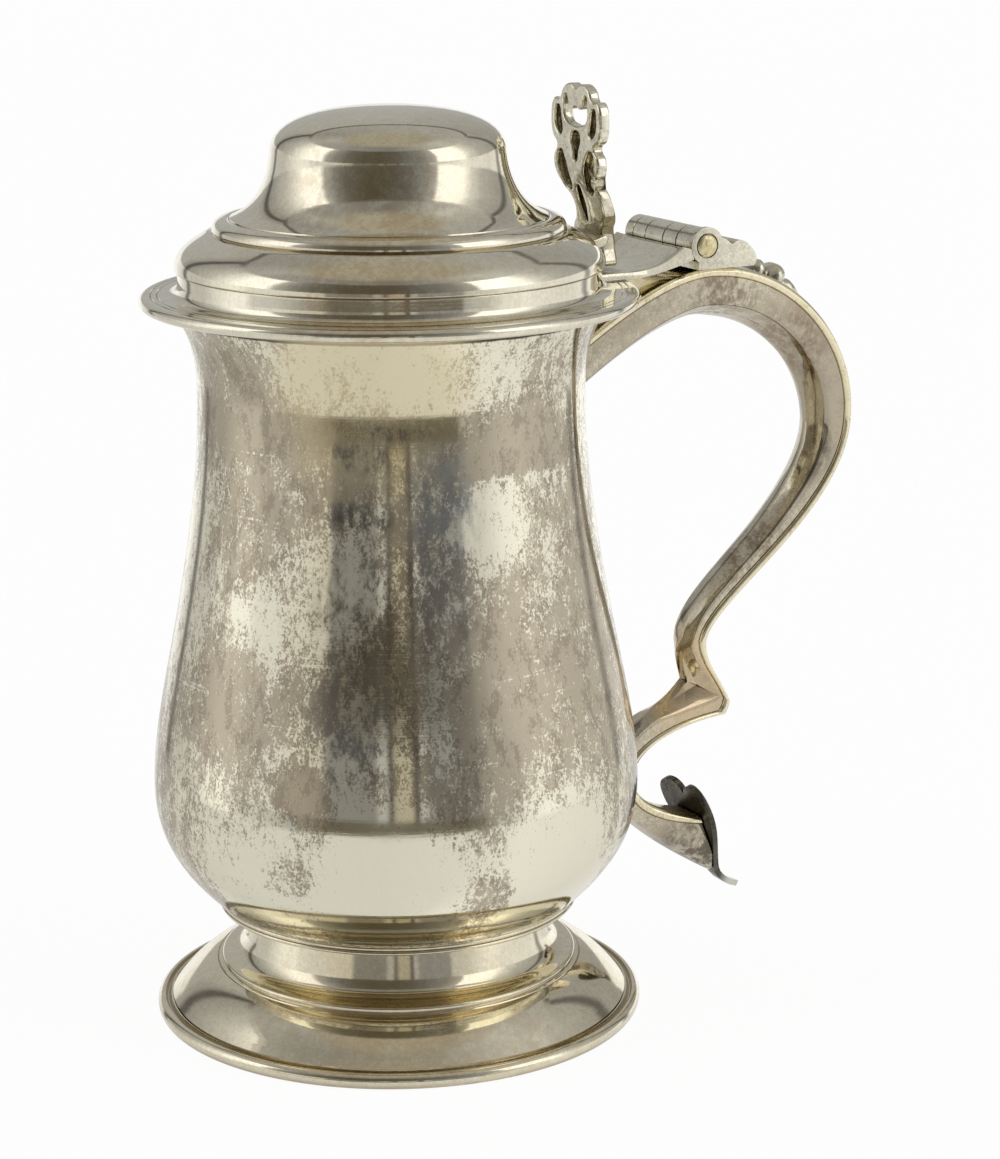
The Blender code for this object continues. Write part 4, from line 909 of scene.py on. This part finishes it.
def cast_plate(name, outlines, half, rounding, set_back):
    """Fills an outline less its piercings to a plate with rounded edges, then leans and thins it towards the top."""
    bpy.ops.object.select_all(action="DESELECT")
    bpy.ops.curve.primitive_bezier_curve_add()
    drawn = bpy.context.object
    drawn.data.dimensions = "2D"
    drawn.data.fill_mode = "BOTH"
    drawn.data.resolution_u = 10
    drawn.data.extrude = (half - rounding) * MM
    drawn.data.bevel_depth = rounding * MM
    drawn.data.bevel_resolution = 3
    drawn.data.offset = -rounding * MM
    drawn.data.splines.remove(drawn.data.splines[0])
    for outline in outlines:
        run = drawn.data.splines.new("BEZIER")
        run.bezier_points.add(len(outline) - 1)
        run.use_cyclic_u = True
        for knot, (across, rise) in zip(run.bezier_points, outline):
            knot.co = (across * THUMB_HALF * MM, rise * THUMB_HEIGHT * MM, 0.0)
            knot.handle_left_type = knot.handle_right_type = "AUTO"
    bpy.ops.object.convert(target="MESH")
    plate = bpy.context.object
    plate.name = plate.data.name = name
    bpy.ops.object.mode_set(mode="EDIT")
    bpy.ops.mesh.select_all(action="SELECT")
    bpy.ops.mesh.remove_doubles(threshold=PLATE_MERGE)
    for level in range(1, 22):
        bpy.ops.mesh.select_all(action="SELECT")
        bpy.ops.mesh.bisect(plane_co=(0, level * 2.0 * MM, 0), plane_no=(0, 1, 0))
    bpy.ops.mesh.select_all(action="SELECT")
    bpy.ops.mesh.remove_doubles(threshold=PLATE_MERGE)
    bpy.ops.object.mode_set(mode="OBJECT")
    for vert in plate.data.vertices:
        across, rise, depth = vert.co / MM
        rise = max(rise, 0.0)
        share = min(max((rise / THUMB_HEIGHT - 0.1) / 0.45, 0.0), 1.0)
        lean = share * share * (3 - 2 * share)
        thick = THUMB_FOOT_THICKNESS + (THUMB_THICKNESS - THUMB_FOOT_THICKNESS) * lean
        back = (0.5 + (depth + set_back) / THUMB_THICKNESS) * thick
        vert.co = Vector((AXIS_X + THUMB_FRONT + back - THUMB_LEAN * lean, across, THUMB_FOOT + rise)) * MM
    return plate


thumb = cast_plate("thumbpiece_openwork", [thumb_edge, *slots], THUMB_THICKNESS / 2, THUMB_ROUNDING, 0.0)
inner_edge = [(s * 0.93, 0.02 + h * 0.96) for s, h in thumb_edge]
backing = cast_plate("thumb_backing", [inner_edge, crown], 0.3, 0.05, 0.75)
web_side = ((46.5, 181.0), (50.5, 181.3), (53.3, 182.2), (54.0, 181.0), (53.3, 179.4), (50.5, 179.0), (46.5, 178.6))
web = plate_across("thumb_web", [Vector(spot) for spot in web_side], 7.4, 0.3)
cut_away(web, lid_form)
thumb.select_set(True)
backing.select_set(True)
bpy.context.view_layer.objects.active = thumb
bpy.ops.object.join()
soften(thumb, 40)
seat(thumb, "lid", "thumb_silver", thumb_metal, "thumbpiece")

# Table
# A plain pale sheet under the tankard, kept only for its soft shadow.
# It is white to the eye and has no part in the object.
bpy.ops.object.select_all(action="DESELECT")
bpy.ops.mesh.primitive_plane_add(size=60.0)
table = bpy.context.object
table.name = "pale_table"
table.visible_glossy = False
paper = bpy.data.materials.new("pale_paper")
paper.use_nodes = True
weave = paper.node_tree
matt = weave.nodes["Principled BSDF"]
matt.inputs["Base Color"].default_value = (0.9, 0.9, 0.9, 1.0)
matt.inputs["Roughness"].default_value = 0.9
glow = wired(weave, "Emission", {"Color": (1.0, 1.0, 1.0, 1.0), "Strength": 1.05})
seen = wired(weave, "LightPath", {}).outputs["Is Camera Ray"]
share = wired(weave, "Math", {0: seen, 1: 0.9}, operation="MULTIPLY")
lay = wired(weave, "MixShader", {0: share.outputs[0], 1: matt.outputs[0], 2: glow.outputs[0]})
weave.links.new(lay.outputs[0], weave.nodes["Material Output"].inputs["Surface"])
table.data.materials.append(paper)

# Studio
# A pale tent with a soft lamp panel on each side of a dim room, a grey ceiling and a white sweep behind.
# The eye sees plain white; the metal sees the room, turned so that its middle is where the camera stands.
world = bpy.data.worlds.new("studio")
bpy.context.scene.world = world
world.use_nodes = True
sky = world.node_tree
sky.nodes.clear()
CAMERA_SIDE = math.radians(-117.0)
aim = wired(sky, "TexCoord", {}).outputs["Generated"]
swing = wired(sky, "Mapping", {"Vector": aim, "Rotation": (0.0, 0.0, -CAMERA_SIDE)})
parts = wired(sky, "SeparateXYZ", {0: swing.outputs["Vector"]}).outputs
bearing = wired(sky, "Math", {0: parts["Y"], 1: parts["X"]}, operation="ARCTAN2").outputs[0]
around = wired(sky, "MapRange", {"Value": bearing, "From Min": -math.pi, "From Max": math.pi}).outputs[0]
tilt = wired(sky, "Math", {0: parts["Z"]}, operation="ARCSINE").outputs[0]


def grey(value, warm=0.0):
    """A plain tone of the room, warmed or cooled a little."""
    return (value * (1 + warm), value, value * (1 - warm * 2), 1.0)


def ring_of(*marks):
    """A band of the room as marks of bearing, tone and any warmth, 0 degrees where the camera stands."""
    ramp = wired(sky, "ValToRGB", {0: around})
    stops = ramp.color_ramp.elements
    while len(stops) > 1:
        stops.remove(stops[0])
    for index, (degrees, *tone) in enumerate(marks):
        stop = stops[0] if index == 0 else stops.new((degrees + 180) / 360)
        stop.position = (degrees + 180) / 360
        stop.color = grey(*tone)
    return ramp.outputs["Color"]


def joined(low, high, first, last):
    """Blends two bands of the room between two heights in degrees."""
    ends = {"From Min": math.radians(first), "From Max": math.radians(last)}
    step = wired(sky, "MapRange", {"Value": tilt, **ends}, interpolation_type="SMOOTHSTEP").outputs["Result"]
    return wired(sky, "Mix", {"Factor": step, "A": low, "B": high}, data_type="RGBA").outputs["Result"]


skirting = ring_of(
    (-180, 0.9), (-160, 1.1), (-140, 0.6), (-118, 0.6), (-96, 1.05), (-84, 1.05), (-79, 0.72), (-64, 0.6),
    (-48, 0.42), (-37, 0.24, 0.1), (-31, 0.13, 0.1), (38, 0.14, 0.1), (41, 0.46), (52, 0.58), (64, 0.95), (76, 1.05),
    (84, 0.95), (114, 0.85), (160, 1.2), (180, 0.9),
)
low_walls = ring_of(
    (-180, 0.9), (-160, 1.1), (-140, 0.6), (-118, 0.6), (-96, 1.05), (-84, 1.05), (-79, 0.84), (-64, 0.78),
    (-48, 0.72, 0.03), (-36, 0.64, 0.04), (-33, 0.27), (-10, 0.26), (-8, 0.5), (-4.5, 0.5), (-3.6, 0.09),
    (-2.2, 0.09), (-0.5, 0.45, 0.08), (7.6, 0.45, 0.08), (8.6, 0.09), (10, 0.09), (11, 0.5), (13.5, 0.5),
    (15, 0.3, -0.02), (38, 0.32, -0.03), (40.5, 0.62), (52, 0.7), (64, 0.95), (76, 1.05), (84, 0.95), (114, 0.85),
    (160, 1.2), (180, 0.9),
)
walls = ring_of(
    (-180, 0.45), (-150, 0.45), (-140, 0.28), (-128, 0.4), (-112, 0.58), (-100, 0.9), (-88, 1.3), (-69, 1.3),
    (-64, 0.48), (-54, 0.27), (-42, 0.15, 0.04), (-24, 0.1, 0.12), (-4, 0.1, 0.13), (8, 0.12, 0.06), (20, 0.17),
    (36, 0.27), (47, 0.48), (49, 1.45), (60, 1.55), (76, 1.4), (86, 0.8), (100, 0.52), (118, 0.42), (146, 0.36),
    (160, 0.4), (180, 0.45),
)
upper = ring_of(
    (-180, 0.4), (-140, 0.33), (-108, 0.45), (-84, 0.36), (-42, 0.29), (0, 0.24), (24, 0.31), (54, 0.48), (78, 0.62),
    (120, 0.46), (180, 0.4),
)
sheet = ring_of(
    (-180, 0.85), (-130, 0.68), (-100, 0.73), (-60, 0.73), (-15, 0.72), (30, 0.77), (60, 0.9), (90, 0.86),
    (130, 0.78), (180, 0.85),
)
opening = ring_of(
    (-180, 1.0), (-143.5, 1.0), (-140.5, 0.32), (-138, 0.32), (-135, 1.0), (124, 1.0), (127.5, 0.34), (130.5, 0.34),
    (134, 1.0), (180, 1.0),
)
sill = ring_of(
    (-180, 0.14), (-136, 0.14), (-124, 0.4), (-100, 0.6), (-84, 0.6), (-60, 0.34), (-42, 0.18), (0, 0.13), (36, 0.25),
    (54, 0.6), (78, 0.8), (110, 0.5), (124, 0.4), (134, 0.14), (180, 0.14),
)
room = joined(skirting, low_walls, -9.0, -7.5)
room = joined(room, walls, 4.5, 6.5)
both = {"Factor": 1.0, "A": room, "B": opening}
framed = wired(sky, "Mix", both, data_type="RGBA", blend_type="MULTIPLY").outputs["Result"]
room = joined(sheet, framed, -13.5, -11.5)
room = joined(room, sill, 43.0, 44.0)
room = joined(room, upper, 45.0, 46.5)
room = joined(room, grey(0.38, 0.08), 58.0, 72.0)
dim = wired(sky, "Background", {"Color": room})
white = wired(sky, "Background", {"Color": (1.0, 1.0, 1.0, 1.0)})
eye = wired(sky, "LightPath", {}).outputs
either = wired(sky, "Math", {0: eye["Is Camera Ray"], 1: eye["Is Transmission Ray"]}, operation="MAXIMUM")
choose = wired(sky, "MixShader", {0: either.outputs[0], 1: dim.outputs[0], 2: white.outputs[0]})
wired(sky, "OutputWorld", {"Surface": choose.outputs[0]})
bpy.context.scene.view_settings.view_transform = "Standard"

# Camera
# It stands in front and to the left, a little above the lid, and looks down at the tankard.
# Its lens takes in the whole object in an upright frame.
lens = bpy.data.cameras.new("camera")
lens.sensor_width = 36.0
lens.lens = 99.6
lens.clip_start = 0.01
camera = bpy.data.objects.new("camera", lens)
bpy.context.scene.collection.objects.link(camera)
heading = math.radians(28.95)
pitch = math.radians(13.952)
roll = math.radians(-0.291)
forward = Vector((math.sin(heading) * math.cos(pitch), math.cos(heading) * math.cos(pitch), -math.sin(pitch)))
right = Vector((math.cos(heading), -math.sin(heading), 0.0))
up = right.cross(forward)
across = right * math.cos(roll) + up * math.sin(roll)
over = up * math.cos(roll) - right * math.sin(roll)
turn = Matrix((across, over, -forward)).transposed().to_4x4()
stand = Vector((-331.35 + AXIS_X, -650.3, 285.1)) * MM
camera.matrix_world = Matrix.Translation(stand) @ turn
bpy.context.scene.camera = camera

bpy.context.view_layer.update()
